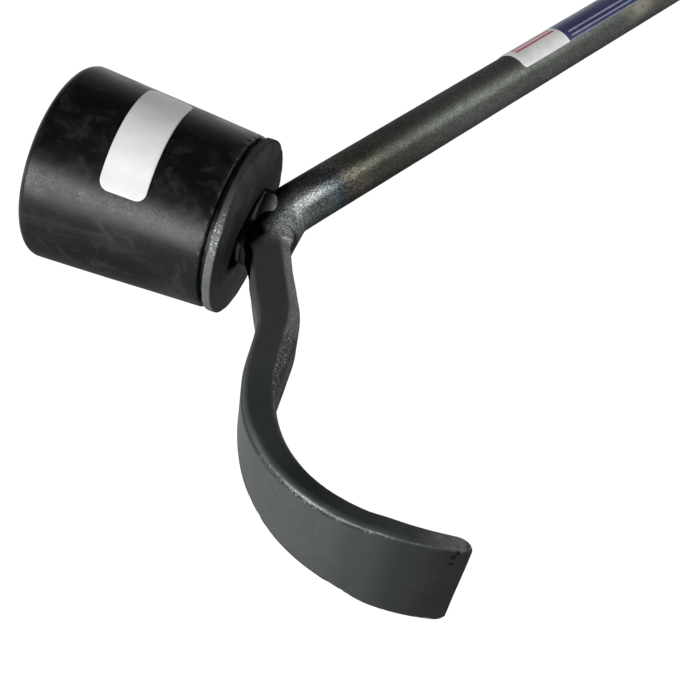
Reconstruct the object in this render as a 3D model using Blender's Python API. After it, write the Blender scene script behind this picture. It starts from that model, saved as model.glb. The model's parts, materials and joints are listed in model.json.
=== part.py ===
"""Hub-cap hammer: a bent steel bar with a forged pry claw and a rubber mallet head.

The tool is laid out flat first: X along the handle, away from the bend, Y towards
the side of the head, Z up, with the corner of the bend at the origin.  The finished
tool is then laid down on the three points it rests on: a rim of the head, a corner
of the claw's edge and the end of the handle.
"""
import math

import bmesh
import bpy
from mathutils import Matrix, Vector

for old in list(bpy.data.objects):
    bpy.data.objects.remove(old, do_unlink=True)

MM = 0.001
DEG = math.pi / 180.0
GAP = 0.3 * MM                  # clearance between pieces that touch

# ---- the bar: round handle, bend, neck, claw ------------------------------------
BAR_R = 8.0 * MM                # 16 mm round bar
HANDLE_LEN = 345.0 * MM         # corner of the bend to the end of the handle
HANDLE_CHAMFER = 1.2 * MM
BEND_ANGLE = 58.0 * DEG
BEND_R = 17.5 * MM              # to the bar's centre line
BEND_SWELL = 2.2 * MM           # metal pushed up on the inside of the bend
BEND_SPREAD = 0.26              # and sideways, as a share of the half width
NECK_LEN = 26.5 * MM
KICK_ANGLE = 26.0 * DEG         # the neck's small reverse bend
KICK_R = 25.0 * MM
KICK_RUN = 12.0 * MM
CLAW_R1 = 43.0 * MM             # claw curve: a tighter root, then a flatter blade
CLAW_SWEEP1 = 70.5 * DEG
CLAW_R2 = 69.0 * MM
CLAW_SWEEP2 = 31.3 * DEG

# How the bar is forged down past the bend:
# distance from the end of the bend, thickness, width, corner radius (mm)
FORGING = (
    (0.0, 16.0, 16.0, 8.0),
    (13.0, 13.2, 17.4, 6.4),
    (28.0, 11.5, 20.5, 5.0),
    (45.0, 11.0, 21.8, 3.8),
    (59.0, 10.0, 22.6, 2.4),
    (76.0, 8.4, 26.8, 1.2),
    (95.0, 6.6, 32.2, 0.9),
    (112.0, 5.8, 36.0, 0.8),
    (119.0, 5.5, 38.8, 0.8),
    (130.0, 4.5, 39.8, 0.7),
    (141.0, 3.2, 40.2, 0.6),
)
EDGE_ROUND = 2.4 * MM           # the claw's edge is rounded over on its inside
CORNER_ROUND = 1.5 * MM         # the edge's two corners

BAR_SIDES = 24
STEP = 3.4 * MM                 # spacing of the bar's stations
BEND_STEP = 1.5 * MM

# ---- the head ------------------------------------------------------------------
HEAD_ANGLE = 115.7 * DEG        # head axis against the handle
HEAD_SEAT = 3.1 * MM            # corner of the bend to the disc's welded face
HEAD_SIDE = -0.8 * MM           # the disc sits a little off the bar's middle plane
DISC_R = 28.4 * MM
DISC_T = 3.1 * MM
DISC_CHAMFER = 0.4 * MM
RUBBER_R_BACK = 28.2 * MM
RUBBER_R_FACE = 31.6 * MM
RUBBER_LEN = 59.6 * MM
RUBBER_RIM = 3.0 * MM           # rounding around the striking face
RUBBER_LIP = 1.4 * MM           # chamfer next to the disc
BORE_R = 5.2 * MM
RECESS_R = 13.5 * MM
RECESS_DEPTH = 25.0 * MM
RECESS_ROUND = 1.0 * MM
HEAD_SIDES = 64

# ---- stud, washers and nut in the head -------------------------------------------
STUD_R = 4.75 * MM
STUD_END = 50.6 * MM            # from the rubber's back face
THREAD_PITCH = 1.6 * MM
THREAD_DEPTH = 0.5 * MM
WASHER_R = 12.7 * MM
WASHER_T = 1.6 * MM
WASHER_BORE = 5.2 * MM
SPRING_R = 8.6 * MM
SPRING_BORE = 5.15 * MM
SPRING_T = 2.3 * MM
SPRING_SPLIT = 12.0 * DEG
NUT_AF = 14.3 * MM
NUT_T = 8.3 * MM
NUT_BORE = 5.1 * MM

# ---- weld beads: distance along the disc, half span, radius -----------------------
WELD_R = 3.1 * MM
WELD_SPAN = 8.0 * MM
WELD_HANDLE = (3.8 * MM, 11.2 * MM)
WELD_CLAW = (3.4 * MM, 8.4 * MM)
WELD_STATIONS = 18
WELD_SIDES = 12

# ---- stickers --------------------------------------------------------------------
LABEL_T = 0.25 * MM
LABEL_GAP = 0.15 * MM
HEAD_LABEL_MID = 29.6 * MM      # from the rubber's back face
HEAD_LABEL_W = 14.6 * MM
HEAD_LABEL_FROM = 41.5 * DEG
HEAD_LABEL_TO = 125.0 * DEG
HEAD_LABEL_SKEW = 2.0 * MM      # it was stuck on slightly askew
HEAD_LABEL_CORNER = 3.2 * MM
GRIP_LABEL_START = 120.3 * MM
GRIP_LABEL_LEN = 82.0 * MM
GRIP_LABEL_FROM = -58.0 * DEG
GRIP_LABEL_TO = 121.5 * DEG
GRIP_LABEL_CORNER = 1.6 * MM


# ---- helpers ---------------------------------------------------------------------
def material(name, colour, roughness, metallic):
    mat = bpy.data.materials.new(name)
    mat.use_nodes = True
    shader = mat.node_tree.nodes["Principled BSDF"]
    shader.inputs["Base Color"].default_value = (*colour, 1.0)
    shader.inputs["Roughness"].default_value = roughness
    shader.inputs["Metallic"].default_value = metallic
    return mat


def add_object(name, bm, mat, parent, smooth_angle=35.0):
    bmesh.ops.recalc_face_normals(bm, faces=bm.faces)
    mesh = bpy.data.meshes.new(name)
    bm.to_mesh(mesh)
    bm.free()
    mesh.shade_smooth()
    mesh.set_sharp_from_angle(angle=smooth_angle * DEG)
    if mat is not None:
        mesh.materials.append(mat)
    obj = bpy.data.objects.new(name, mesh)
    bpy.context.scene.collection.objects.link(obj)
    obj.parent = parent
    return obj


def add_cutter(name, bm, parent):
    obj = add_object(name, bm, None, parent)
    obj.hide_render = True
    obj.display_type = 'WIRE'
    return obj


def cut(obj, cutter, operation='DIFFERENCE'):
    mod = obj.modifiers.new(cutter.name, 'BOOLEAN')
    mod.operation = operation
    mod.solver = 'EXACT'
    mod.object = cutter
    return mod


def empty(name, parent=None, matrix=None):
    obj = bpy.data.objects.new(name, None)
    bpy.context.scene.collection.objects.link(obj)
    obj.parent = parent
    if matrix is not None:
        obj.matrix_local = matrix
    return obj


def loft(rings, capped=True):
    """Skin closed rings of equal count, with flat ends."""
    bm = bmesh.new()
    grid = [[bm.verts.new(p) for p in ring] for ring in rings]
    count = len(grid[0])
    for low, high in zip(grid, grid[1:]):
        for i in range(count):
            j = (i + 1) % count
            bm.faces.new((low[i], low[j], high[j], high[i]))
    if capped:
        bm.faces.new(list(reversed(grid[0])))
        bm.faces.new(grid[-1])
    return bm


def turned(profile, sides):
    """Turn a closed (radius, height) outline about Z; points on the axis close it."""
    bm = bmesh.new()
    rings = []
    for radius, height in profile:
        if radius < 1e-7:
            rings.append([bm.verts.new((0.0, 0.0, height))])
        else:
            rings.append([bm.verts.new((radius * math.cos(2 * math.pi * k / sides),
                                        radius * math.sin(2 * math.pi * k / sides),
                                        height)) for k in range(sides)])
    pairs = list(zip(rings, rings[1:]))
    if len(rings[0]) > 1:
        pairs.append((rings[-1], rings[0]))
    for low, high in pairs:
        for k in range(sides):
            n = (k + 1) % sides
            corners = [low[k % len(low)], low[n % len(low)],
                       high[n % len(high)], high[k % len(high)]]
            unique = []
            for corner in corners:
                if corner not in unique:
                    unique.append(corner)
            if len(unique) > 2:
                bm.faces.new(unique)
    return bm


def box(low, high):
    bm = bmesh.new()
    bmesh.ops.create_cube(bm, size=1.0)
    for vert in bm.verts:
        vert.co = Vector([low[i] + (vert.co[i] + 0.5) * (high[i] - low[i]) for i in range(3)])
    return bm


def smooth_table(rows, at, column):
    """Read a forging table with slopes that never overshoot."""
    xs = [row[0] * MM for row in rows]
    ys = [row[column] * MM for row in rows]
    if at <= xs[0]:
        return ys[0]
    if at >= xs[-1]:
        return ys[-1]
    runs = [(ys[i + 1] - ys[i]) / (xs[i + 1] - xs[i]) for i in range(len(xs) - 1)]
    slopes = [runs[0]]
    for a, b in zip(runs, runs[1:]):
        slopes.append(0.0 if a * b <= 0.0 else 2.0 * a * b / (a + b))
    slopes.append(runs[-1])
    for i in range(len(runs)):
        if at <= xs[i + 1]:
            h = xs[i + 1] - xs[i]
            t = (at - xs[i]) / h
            return ((2 * t ** 3 - 3 * t ** 2 + 1) * ys[i] + (t ** 3 - 2 * t ** 2 + t) * h * slopes[i]
                    + (3 * t ** 2 - 2 * t ** 3) * ys[i + 1] + (t ** 3 - t ** 2) * h * slopes[i + 1])
    return ys[-1]


# ---- the bar's centre line ---------------------------------------------------------
def bar_stations():
    """(run from the start of the bend, x, y, heading) from the handle to the claw."""
    corner_run = BEND_R * math.tan(BEND_ANGLE / 2)
    out = []
    for x in (HANDLE_LEN, HANDLE_LEN - HANDLE_CHAMFER, HANDLE_LEN * 0.5,
              corner_run + 16 * MM, corner_run + 11 * MM, corner_run + 7 * MM, corner_run + 3 * MM):
        out.append((corner_run - x, x, 0.0, math.pi))
    x, y, heading, run = corner_run, 0.0, math.pi, 0.0
    out.append((run, x, y, heading))

    def arc(radius, angle, step):
        nonlocal x, y, heading, run
        count = max(3, math.ceil(radius * abs(angle) / step))
        turn = angle / count
        chord = 2 * radius * math.sin(abs(turn) / 2)
        for _ in range(count):
            x += chord * math.cos(heading + turn / 2)
            y += chord * math.sin(heading + turn / 2)
            heading += turn
            run += radius * abs(turn)
            out.append((run, x, y, heading))

    def line(length, step):
        nonlocal x, y, run
        count = max(1, math.ceil(length / step))
        for _ in range(count):
            x += length / count * math.cos(heading)
            y += length / count * math.sin(heading)
            run += length / count
            out.append((run, x, y, heading))

    arc(BEND_R, BEND_ANGLE, BEND_STEP)
    line(NECK_LEN, STEP)
    arc(KICK_R, -KICK_ANGLE, STEP)
    line(KICK_RUN, STEP)
    arc(CLAW_R1, CLAW_SWEEP1, STEP)
    arc(CLAW_R2, CLAW_SWEEP2, STEP)
    # closer stations where the edge is rounded over
    tip = out.pop()
    last = out[-1]
    for back in (2.4, 1.7, 1.1, 0.6, 0.25, 0.0):
        back *= MM
        share = 1.0 - back / (tip[0] - last[0])
        turn = (tip[3] - last[3]) * (1.0 - share)
        out.append((tip[0] - back,
                    tip[1] - back * math.cos(tip[3] - turn / 2),
                    tip[2] - back * math.sin(tip[3] - turn / 2),
                    tip[3] - turn))
    return out


def bar_rings(inflate=0.0, first=0, last=None):
    """Cross-sections of the bar, as rings of points; inflate grows them all round."""
    stations = bar_stations()
    end_run = stations[-1][0]
    bend_run = BEND_R * BEND_ANGLE
    rings = []
    for run, x, y, heading in stations[first:last]:
        past = max(0.0, run - bend_run)
        thick = smooth_table(FORGING, past, 1)
        wide = smooth_table(FORGING, past, 2)
        radius = smooth_table(FORGING, past, 3)
        outside, inside, half = thick / 2, thick / 2, wide / 2
        to_end = end_run - run
        if to_end < EDGE_ROUND:
            k = 1.0 - to_end / EDGE_ROUND
            inside -= 0.60 * thick * (1.0 - math.sqrt(max(0.0, 1.0 - k * k)))
        if to_end < CORNER_ROUND:
            k = 1.0 - to_end / CORNER_ROUND
            half -= CORNER_ROUND * (1.0 - math.sqrt(max(0.0, 1.0 - k * k)))
        if run < HANDLE_CHAMFER + stations[0][0] - 1e-9:
            outside = inside = half = radius = BAR_R - HANDLE_CHAMFER
        swell = math.exp(-1.2 * ((run - bend_run / 2) / (bend_run / 2 + 2.5 * MM)) ** 2)
        if run < -17 * MM:
            swell = 0.0
        outside += inflate
        inside += inflate
        half += inflate
        radius = min(radius + inflate, (outside + inside) / 2, half)
        out_dir = (math.sin(heading), -math.cos(heading))
        ring = []
        for sx, sy, start in ((1, 1, 0.0), (-1, 1, 90.0), (-1, -1, 180.0), (1, -1, 270.0)):
            for i in range(BAR_SIDES // 4):
                angle = (start + 90.0 * (i + 0.5) / (BAR_SIDES // 4)) * DEG
                cx = (outside - radius) if sx > 0 else -(inside - radius)
                a = cx + radius * math.cos(angle)
                b = sy * (half - radius) + radius * math.sin(angle)
                share = a / (outside if a > 0 else inside)
                b *= 1.0 - BEND_SPREAD * swell * share
                if a < 0:
                    a += BEND_SWELL * swell * share
                ring.append((x + a * out_dir[0], y + a * out_dir[1], b))
        rings.append(ring)
    return rings


# ---- where the tool rests ------------------------------------------------------------
def head_matrix():
    """Head frame: Z out through the striking face, Y up, X towards the claw."""
    axis = Vector((math.cos(HEAD_ANGLE), math.sin(HEAD_ANGLE), 0.0))
    up = Vector((0.0, 0.0, 1.0))
    side = up.cross(axis)
    place = axis * HEAD_SEAT + up * HEAD_SIDE
    return Matrix(((side.x, up.x, axis.x, place.x), (side.y, up.y, axis.y, place.y),
                   (side.z, up.z, axis.z, place.z), (0.0, 0.0, 0.0, 1.0)))


def rest_matrix():
    """Turn the laid-out tool onto its three feet, over the middle of its own box."""
    head = head_matrix()
    axis = head.to_3x3() @ Vector((0.0, 0.0, 1.0))
    # the head's rims that could touch first: disc, back of the rubber, striking face
    rims = [(height, DISC_R) for height in (DISC_CHAMFER, DISC_T - DISC_CHAMFER)]
    rims += [(DISC_T + GAP + RUBBER_LIP, RUBBER_R_BACK),
             (DISC_T + GAP + RUBBER_LEN - RUBBER_RIM, RUBBER_R_FACE)]
    tip = [Vector(p) for ring in bar_rings()[-8:] for p in ring]
    end = Vector((HANDLE_LEN - HANDLE_CHAMFER, 0.0, 0.0))
    up = Vector((0.0, 0.0, 1.0))
    for _ in range(40):
        down = -(up - axis * up.dot(axis)).normalized()
        foot_head = min((head @ Vector((0.0, 0.0, height)) + down * radius for height, radius in rims),
                        key=lambda p: p.dot(up))
        foot_tip = min(tip, key=lambda p: p.dot(up))
        across = up - Vector((1.0, 0.0, 0.0)) * up.x
        foot_end = end - across.normalized() * BAR_R
        up = (foot_tip - foot_head).cross(foot_end - foot_head).normalized()
        if up.z < 0:
            up = -up
    along = (Vector((1.0, 0.0, 0.0)) - up * up.x).normalized()
    side = up.cross(along)
    turn = Matrix((along, side, up)).to_4x4()
    # the box of everything that sets the tool's outline
    outline = [Vector(p) for ring in bar_rings() for p in ring]
    rims.append((DISC_T + GAP + RUBBER_LEN, RUBBER_R_FACE - RUBBER_RIM))
    for height, radius in rims:
        for k in range(HEAD_SIDES):
            angle = 2 * math.pi * k / HEAD_SIDES
            outline.append(head @ Vector((radius * math.cos(angle), radius * math.sin(angle), height)))
    placed = [turn @ p for p in outline]
    mid = [(min(p[i] for p in placed) + max(p[i] for p in placed)) / 2 for i in range(2)]
    low = min(p.z for p in placed)
    return Matrix.Translation((-mid[0], -mid[1], -low)) @ turn


# ---- materials -------------------------------------------------------------------------
BLACK_STEEL = material("black_oxide_steel", (0.052, 0.058, 0.056), 0.46, 0.75)
DISC_STEEL = material("disc_steel", (0.060, 0.066, 0.064), 0.52, 0.70)
WELD_STEEL = material("weld_metal", (0.030, 0.032, 0.031), 0.55, 0.80)
RUBBER = material("black_rubber", (0.012, 0.013, 0.013), 0.48, 0.0)
ZINC = material("zinc_plated_steel", (0.42, 0.43, 0.44), 0.36, 1.0)
WHITE_LABEL = material("white_label", (0.80, 0.81, 0.81), 0.42, 0.0)
PRINT_LABEL = material("printed_label", (0.10, 0.12, 0.32), 0.40, 0.0)

# ---- assembly ----------------------------------------------------------------------------
tool = empty("tool", matrix=rest_matrix())
head = empty("head", parent=tool, matrix=head_matrix())

# the bar, with a flat on the outside of the bend for the disc
pry_bar = add_object("pry_bar", loft(bar_rings()), BLACK_STEEL, tool, 40.0)
seat = add_cutter("disc_seat", box((-26 * MM, -20 * MM, -GAP), (26 * MM, 20 * MM, 16 * MM)), head)
cut(pry_bar, seat)

# backing disc, welded face at the head frame's origin
disc_profile = [
    (0.0, 0.0), (DISC_R - DISC_CHAMFER, 0.0), (DISC_R, DISC_CHAMFER),
    (DISC_R, DISC_T - DISC_CHAMFER), (DISC_R - DISC_CHAMFER, DISC_T), (0.0, DISC_T)]
add_object("backing_disc", turned(disc_profile, HEAD_SIDES), DISC_STEEL, head)

# rubber head: bored for the stud, with a recess for the nut in the striking face
back = DISC_T + GAP
face = back + RUBBER_LEN


def rubber_radius(height):
    return RUBBER_R_BACK + (RUBBER_R_FACE - RUBBER_R_BACK) * height / RUBBER_LEN


rubber_profile = [(BORE_R, back), (RUBBER_R_BACK - RUBBER_LIP, back),
                  (RUBBER_R_BACK - 0.35 * RUBBER_LIP, back + 0.35 * RUBBER_LIP),
                  (rubber_radius(RUBBER_LIP), back + RUBBER_LIP)]
for k in range(5):
    angle = 90.0 * k / 4 * DEG
    rubber_profile.append((RUBBER_R_FACE - RUBBER_RIM * (1.0 - math.cos(angle)),
                           face - RUBBER_RIM * (1.0 - math.sin(angle))))
for k in range(3):
    angle = 90.0 * k / 2 * DEG
    rubber_profile.append((RECESS_R + RECESS_ROUND * (1.0 - math.sin(angle)),
                           face - RECESS_ROUND * (1.0 - math.cos(angle))))
floor_z = face - RECESS_DEPTH
rubber_profile += [(RECESS_R, floor_z), (BORE_R, floor_z)]
add_object("rubber_head", turned(rubber_profile, HEAD_SIDES), RUBBER, head)

# stud, with the turned thread where it stands out of the nut
stud_profile = [(0.0, back), (STUD_R, back)]
stud_top = back + STUD_END
height = stud_top - 5 * THREAD_PITCH
while height < stud_top - 0.9 * THREAD_PITCH:
    stud_profile += [(STUD_R, height), (STUD_R - THREAD_DEPTH, height + THREAD_PITCH / 2)]
    height += THREAD_PITCH
stud_profile += [(STUD_R - 0.1 * MM, stud_top - 0.8 * MM), (STUD_R - 0.9 * MM, stud_top), (0.0, stud_top)]
add_object("head_stud", turned(stud_profile, 32), ZINC, head)

# flat washer on the floor of the recess
washer_z = floor_z + GAP
washer_profile = [(WASHER_BORE, washer_z), (WASHER_R, washer_z),
                  (WASHER_R, washer_z + WASHER_T - 0.3 * MM),
                  (WASHER_R - 0.3 * MM, washer_z + WASHER_T), (WASHER_BORE, washer_z + WASHER_T)]
add_object("flat_washer", turned(washer_profile, 48), ZINC, head)

# split spring washer
spring_z = washer_z + WASHER_T + GAP
spring_rings = []
for k in range(37):
    angle = SPRING_SPLIT / 2 + (2 * math.pi - SPRING_SPLIT) * k / 36
    c, s = math.cos(angle), math.sin(angle)
    spring_rings.append([(r * c, r * s, z) for r, z in (
        (SPRING_BORE, spring_z), (SPRING_R, spring_z),
        (SPRING_R, spring_z + SPRING_T), (SPRING_BORE, spring_z + SPRING_T))])
add_object("lock_washer", loft(spring_rings), ZINC, head)

# hex nut with chamfered corners
nut_z = spring_z + SPRING_T + GAP
corner_r = NUT_AF / 2 / math.cos(30 * DEG)
hexagon = [(corner_r * math.cos((60 * k + 8) * DEG), corner_r * math.sin((60 * k + 8) * DEG)) for k in range(6)]
nut = add_object("hex_nut", loft([[(px, py, nut_z) for px, py in hexagon],
                                  [(px, py, nut_z + NUT_T) for px, py in hexagon]]), ZINC, head, 25.0)
chamfer_h = 0.62 * MM
chamfer_profile = [(NUT_AF / 2 - 0.1 * MM, nut_z - 0.001 * MM), (corner_r + 0.3 * MM, nut_z + chamfer_h),
                   (corner_r + 0.3 * MM, nut_z + NUT_T - chamfer_h),
                   (NUT_AF / 2 - 0.1 * MM, nut_z + NUT_T + 0.001 * MM),
                   (NUT_BORE + 0.7 * MM, nut_z + NUT_T + 0.001 * MM), (NUT_BORE, nut_z + NUT_T - 0.6 * MM),
                   (NUT_BORE, nut_z + 0.6 * MM), (NUT_BORE + 0.7 * MM, nut_z - 0.001 * MM)]
cut(nut, add_cutter("nut_blank", turned(chamfer_profile, 36), head), 'INTERSECT')


# weld beads, each a crescent around one end of the flat
def weld_rings(reach, side):
    start, depth = reach
    rings = []
    for k in range(WELD_STATIONS + 1):
        turn = (-88.0 + 176.0 * k / WELD_STATIONS) * DEG
        centre = Vector((side * (start + depth * math.cos(turn)), WELD_SPAN * math.sin(turn), -0.5 * MM))
        ahead = Vector((-side * depth * math.sin(turn), WELD_SPAN * math.cos(turn), 0.0)).normalized()
        away = ahead.cross(Vector((0.0, 0.0, 1.0)))
        taper = 0.55 + 0.45 * math.cos(turn) ** 0.6
        ripple = 1.0 + 0.035 * math.cos(math.pi * k)
        radius = WELD_R * taper * ripple
        rings.append([tuple(centre + away * radius * math.cos(2 * math.pi * i / WELD_SIDES)
                            + Vector((0.0, 0.0, radius * math.sin(2 * math.pi * i / WELD_SIDES))))
                      for i in range(WELD_SIDES)])
    return rings


near_bend = [i for i, s in enumerate(bar_stations()) if -60 * MM < s[0] < 75 * MM]
grown_bar = add_cutter("bar_clearance",
                       loft(bar_rings(GAP, near_bend[0] - 1, near_bend[-1] + 1)), tool)
below = add_cutter("disc_clearance", box((-30 * MM, -30 * MM, -GAP), (30 * MM, 30 * MM, 20 * MM)), head)
for name, reach, side in (("weld_bead_handle_side", WELD_HANDLE, -1.0),
                          ("weld_bead_claw_side", WELD_CLAW, 1.0)):
    bead = add_object(name, loft(weld_rings(reach, side)), WELD_STEEL, head, 60.0)
    cut(bead, below)
    cut(bead, grown_bar)


# stickers: thin skins that follow the cone and the bar
def sticker(surface, from_angle, to_angle, low, high, corner, arc_radius, skew, count):
    rings = []
    for k in range(count + 1):
        # stations crowd towards the rounded corners
        share = 0.5 - 0.5 * math.cos(math.pi * k / count)
        angle = from_angle + (to_angle - from_angle) * share
        to_end = min(share, 1.0 - share) * (to_angle - from_angle) * arc_radius
        trim = 0.0
        if to_end < corner:
            trim = corner - math.sqrt(max(0.0, corner ** 2 - (corner - to_end) ** 2))
        shift = skew * (share - 0.5)
        a, b = low + trim + shift, high - trim + shift
        rings.append([surface(angle, a, LABEL_GAP), surface(angle, b, LABEL_GAP),
                      surface(angle, b, LABEL_GAP + LABEL_T), surface(angle, a, LABEL_GAP + LABEL_T)])
    return rings


def on_cone(angle, height, lift):
    radius = rubber_radius(height) + lift
    return (radius * math.cos(angle), radius * math.sin(angle), back + height)


def on_bar(angle, along, lift):
    return (along, (BAR_R + lift) * math.cos(angle), (BAR_R + lift) * math.sin(angle))


add_object("head_label", loft(sticker(
    on_cone, HEAD_LABEL_FROM, HEAD_LABEL_TO, HEAD_LABEL_MID - HEAD_LABEL_W / 2,
    HEAD_LABEL_MID + HEAD_LABEL_W / 2, HEAD_LABEL_CORNER, rubber_radius(HEAD_LABEL_MID),
    HEAD_LABEL_SKEW, 28)), WHITE_LABEL, head)
add_object("handle_label", loft(sticker(
    on_bar, GRIP_LABEL_FROM, GRIP_LABEL_TO, GRIP_LABEL_START,
    GRIP_LABEL_START + GRIP_LABEL_LEN, GRIP_LABEL_CORNER, BAR_R, 0.0, 40)), PRINT_LABEL, tool)

bpy.context.view_layer.update()
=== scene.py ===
"""Looks of the hub-cap hammer: fine meshes, procedural materials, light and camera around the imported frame."""

import json
import math

import bpy
import numpy as np
from mathutils import Matrix, Vector, noise


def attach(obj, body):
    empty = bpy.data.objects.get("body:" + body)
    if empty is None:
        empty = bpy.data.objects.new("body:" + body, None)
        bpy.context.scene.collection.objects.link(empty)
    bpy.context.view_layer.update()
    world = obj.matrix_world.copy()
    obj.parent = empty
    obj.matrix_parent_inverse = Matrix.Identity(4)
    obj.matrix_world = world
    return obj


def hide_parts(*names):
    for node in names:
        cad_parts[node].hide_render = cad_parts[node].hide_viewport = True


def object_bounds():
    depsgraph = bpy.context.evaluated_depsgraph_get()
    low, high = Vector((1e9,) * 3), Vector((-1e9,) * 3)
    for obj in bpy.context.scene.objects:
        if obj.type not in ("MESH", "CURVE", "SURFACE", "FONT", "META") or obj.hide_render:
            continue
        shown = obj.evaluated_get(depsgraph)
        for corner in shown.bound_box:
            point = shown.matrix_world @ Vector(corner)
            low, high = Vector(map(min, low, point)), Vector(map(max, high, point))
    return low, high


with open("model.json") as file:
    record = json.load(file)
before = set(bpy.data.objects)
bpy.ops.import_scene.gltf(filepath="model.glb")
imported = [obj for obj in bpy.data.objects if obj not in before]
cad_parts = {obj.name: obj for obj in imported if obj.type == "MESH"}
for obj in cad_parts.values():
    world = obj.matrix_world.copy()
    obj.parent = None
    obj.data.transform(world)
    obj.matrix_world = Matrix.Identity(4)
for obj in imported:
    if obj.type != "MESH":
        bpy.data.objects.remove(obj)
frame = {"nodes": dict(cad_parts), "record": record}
cad_low, cad_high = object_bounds()

MM = 0.001
DEG = math.pi / 180.0
GAP = 0.3 * MM

# ---- the tool's own frame, from the two flat faces in the record -------------------
# X along the handle from the corner of the bend, Y towards the head, Z up.
mounts = {m["name"]: m for m in frame["record"]["mounts"]}
HANDLE_LEN = 345.0 * MM
HEAD_ANGLE = 115.7 * DEG
along = Vector(mounts["handle_end"]["axis"]).normalized()
strike = Vector(mounts["striking_face"]["axis"]).normalized()
upward = along.cross(strike).normalized()
across = upward.cross(along)
corner = Vector(mounts["handle_end"]["pos_m"]) - along * HANDLE_LEN
TOOL = np.array([[along[i], across[i], upward[i], corner[i]] for i in range(3)])

HEAD_SEAT, HEAD_SIDE = 3.1 * MM, -0.8 * MM
head_z = np.array([math.cos(HEAD_ANGLE), math.sin(HEAD_ANGLE), 0.0])
head_y = np.array([0.0, 0.0, 1.0])
head_x = np.cross(head_y, head_z)
HEAD = np.column_stack([head_x, head_y, head_z, head_z * HEAD_SEAT + head_y * HEAD_SIDE])


def put(matrix, points):
    points = np.asarray(points, float)
    return points @ matrix[:, :3].T + matrix[:, 3]


def take(matrix, points):
    return (np.asarray(points, float) - matrix[:, 3]) @ matrix[:, :3]


# ---- small tools -------------------------------------------------------------------
def perlin(points, size, seed=0.0):
    """Smooth noise, -1 to 1, with features about `size` metres across."""
    f = 1.0 / size
    return np.array([noise.noise(Vector((x * f + seed, y * f - seed, z * f + 0.37 * seed)))
                     for x, y, z in points.reshape(-1, 3)]).reshape(points.shape[:-1])


def rise(x, low, high):
    t = np.clip((np.asarray(x, float) - low) / (high - low), 0.0, 1.0)
    return t * t * (3.0 - 2.0 * t)


def grid_normals(p, closed_rows=False):
    """Unit normals of a grid of closed rings."""
    du = np.roll(p, -1, axis=1) - np.roll(p, 1, axis=1)
    if closed_rows:
        dv = np.roll(p, -1, axis=0) - np.roll(p, 1, axis=0)
    else:
        dv = np.gradient(p, axis=0)
    n = np.cross(du, dv)
    length = np.linalg.norm(n, axis=2, keepdims=True)
    return n / np.maximum(length, 1e-12)


def grid_faces(rows, count, closed_rows=False):
    faces = []
    last = rows if closed_rows else rows - 1
    for r in range(last):
        low, high = r * count, ((r + 1) % rows) * count
        for k in range(count):
            n = (k + 1) % count
            faces.append((low + k, low + n, high + n, high + k))
    return faces


def piece(name, points, faces, material, nodes, local, marks=None, uv=None, sharp=40.0):
    """One visible piece, with its mesh in the row frame; local keeps its own coordinates for the materials."""
    mesh = bpy.data.meshes.new(name)
    points = np.clip(points, np.array(cad_low) + 0.01 * MM, np.array(cad_high) - 0.01 * MM)
    mesh.from_pydata([tuple(p) for p in points], [], faces)
    mesh.validate()
    # faces point outwards
    tri = 0.0
    for f in mesh.polygons:
        tri += f.area * f.center.dot(f.normal)
    if tri < 0.0:
        mesh.flip_normals()
    mesh.shade_smooth()
    mesh.set_sharp_from_angle(angle=sharp * DEG)
    spot = mesh.attributes.new("spot", 'FLOAT_VECTOR', 'POINT')
    spot.data.foreach_set("vector", np.asarray(local, np.float32).ravel())
    for key, values in (marks or {}).items():
        layer = mesh.attributes.new(key, 'FLOAT', 'POINT')
        layer.data.foreach_set("value", np.asarray(values, np.float32).ravel())
    if uv is not None:
        layer = mesh.uv_layers.new(name="UVMap")
        index = np.zeros(len(mesh.loops), np.int32)
        mesh.loops.foreach_get("vertex_index", index)
        layer.data.foreach_set("uv", np.asarray(uv, np.float32)[index].ravel())
    mesh.materials.append(material)
    obj = bpy.data.objects.new(name, mesh)
    bpy.context.scene.collection.objects.link(obj)
    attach(obj, "root")
    if nodes:
        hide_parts(*nodes)
    return obj


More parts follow.
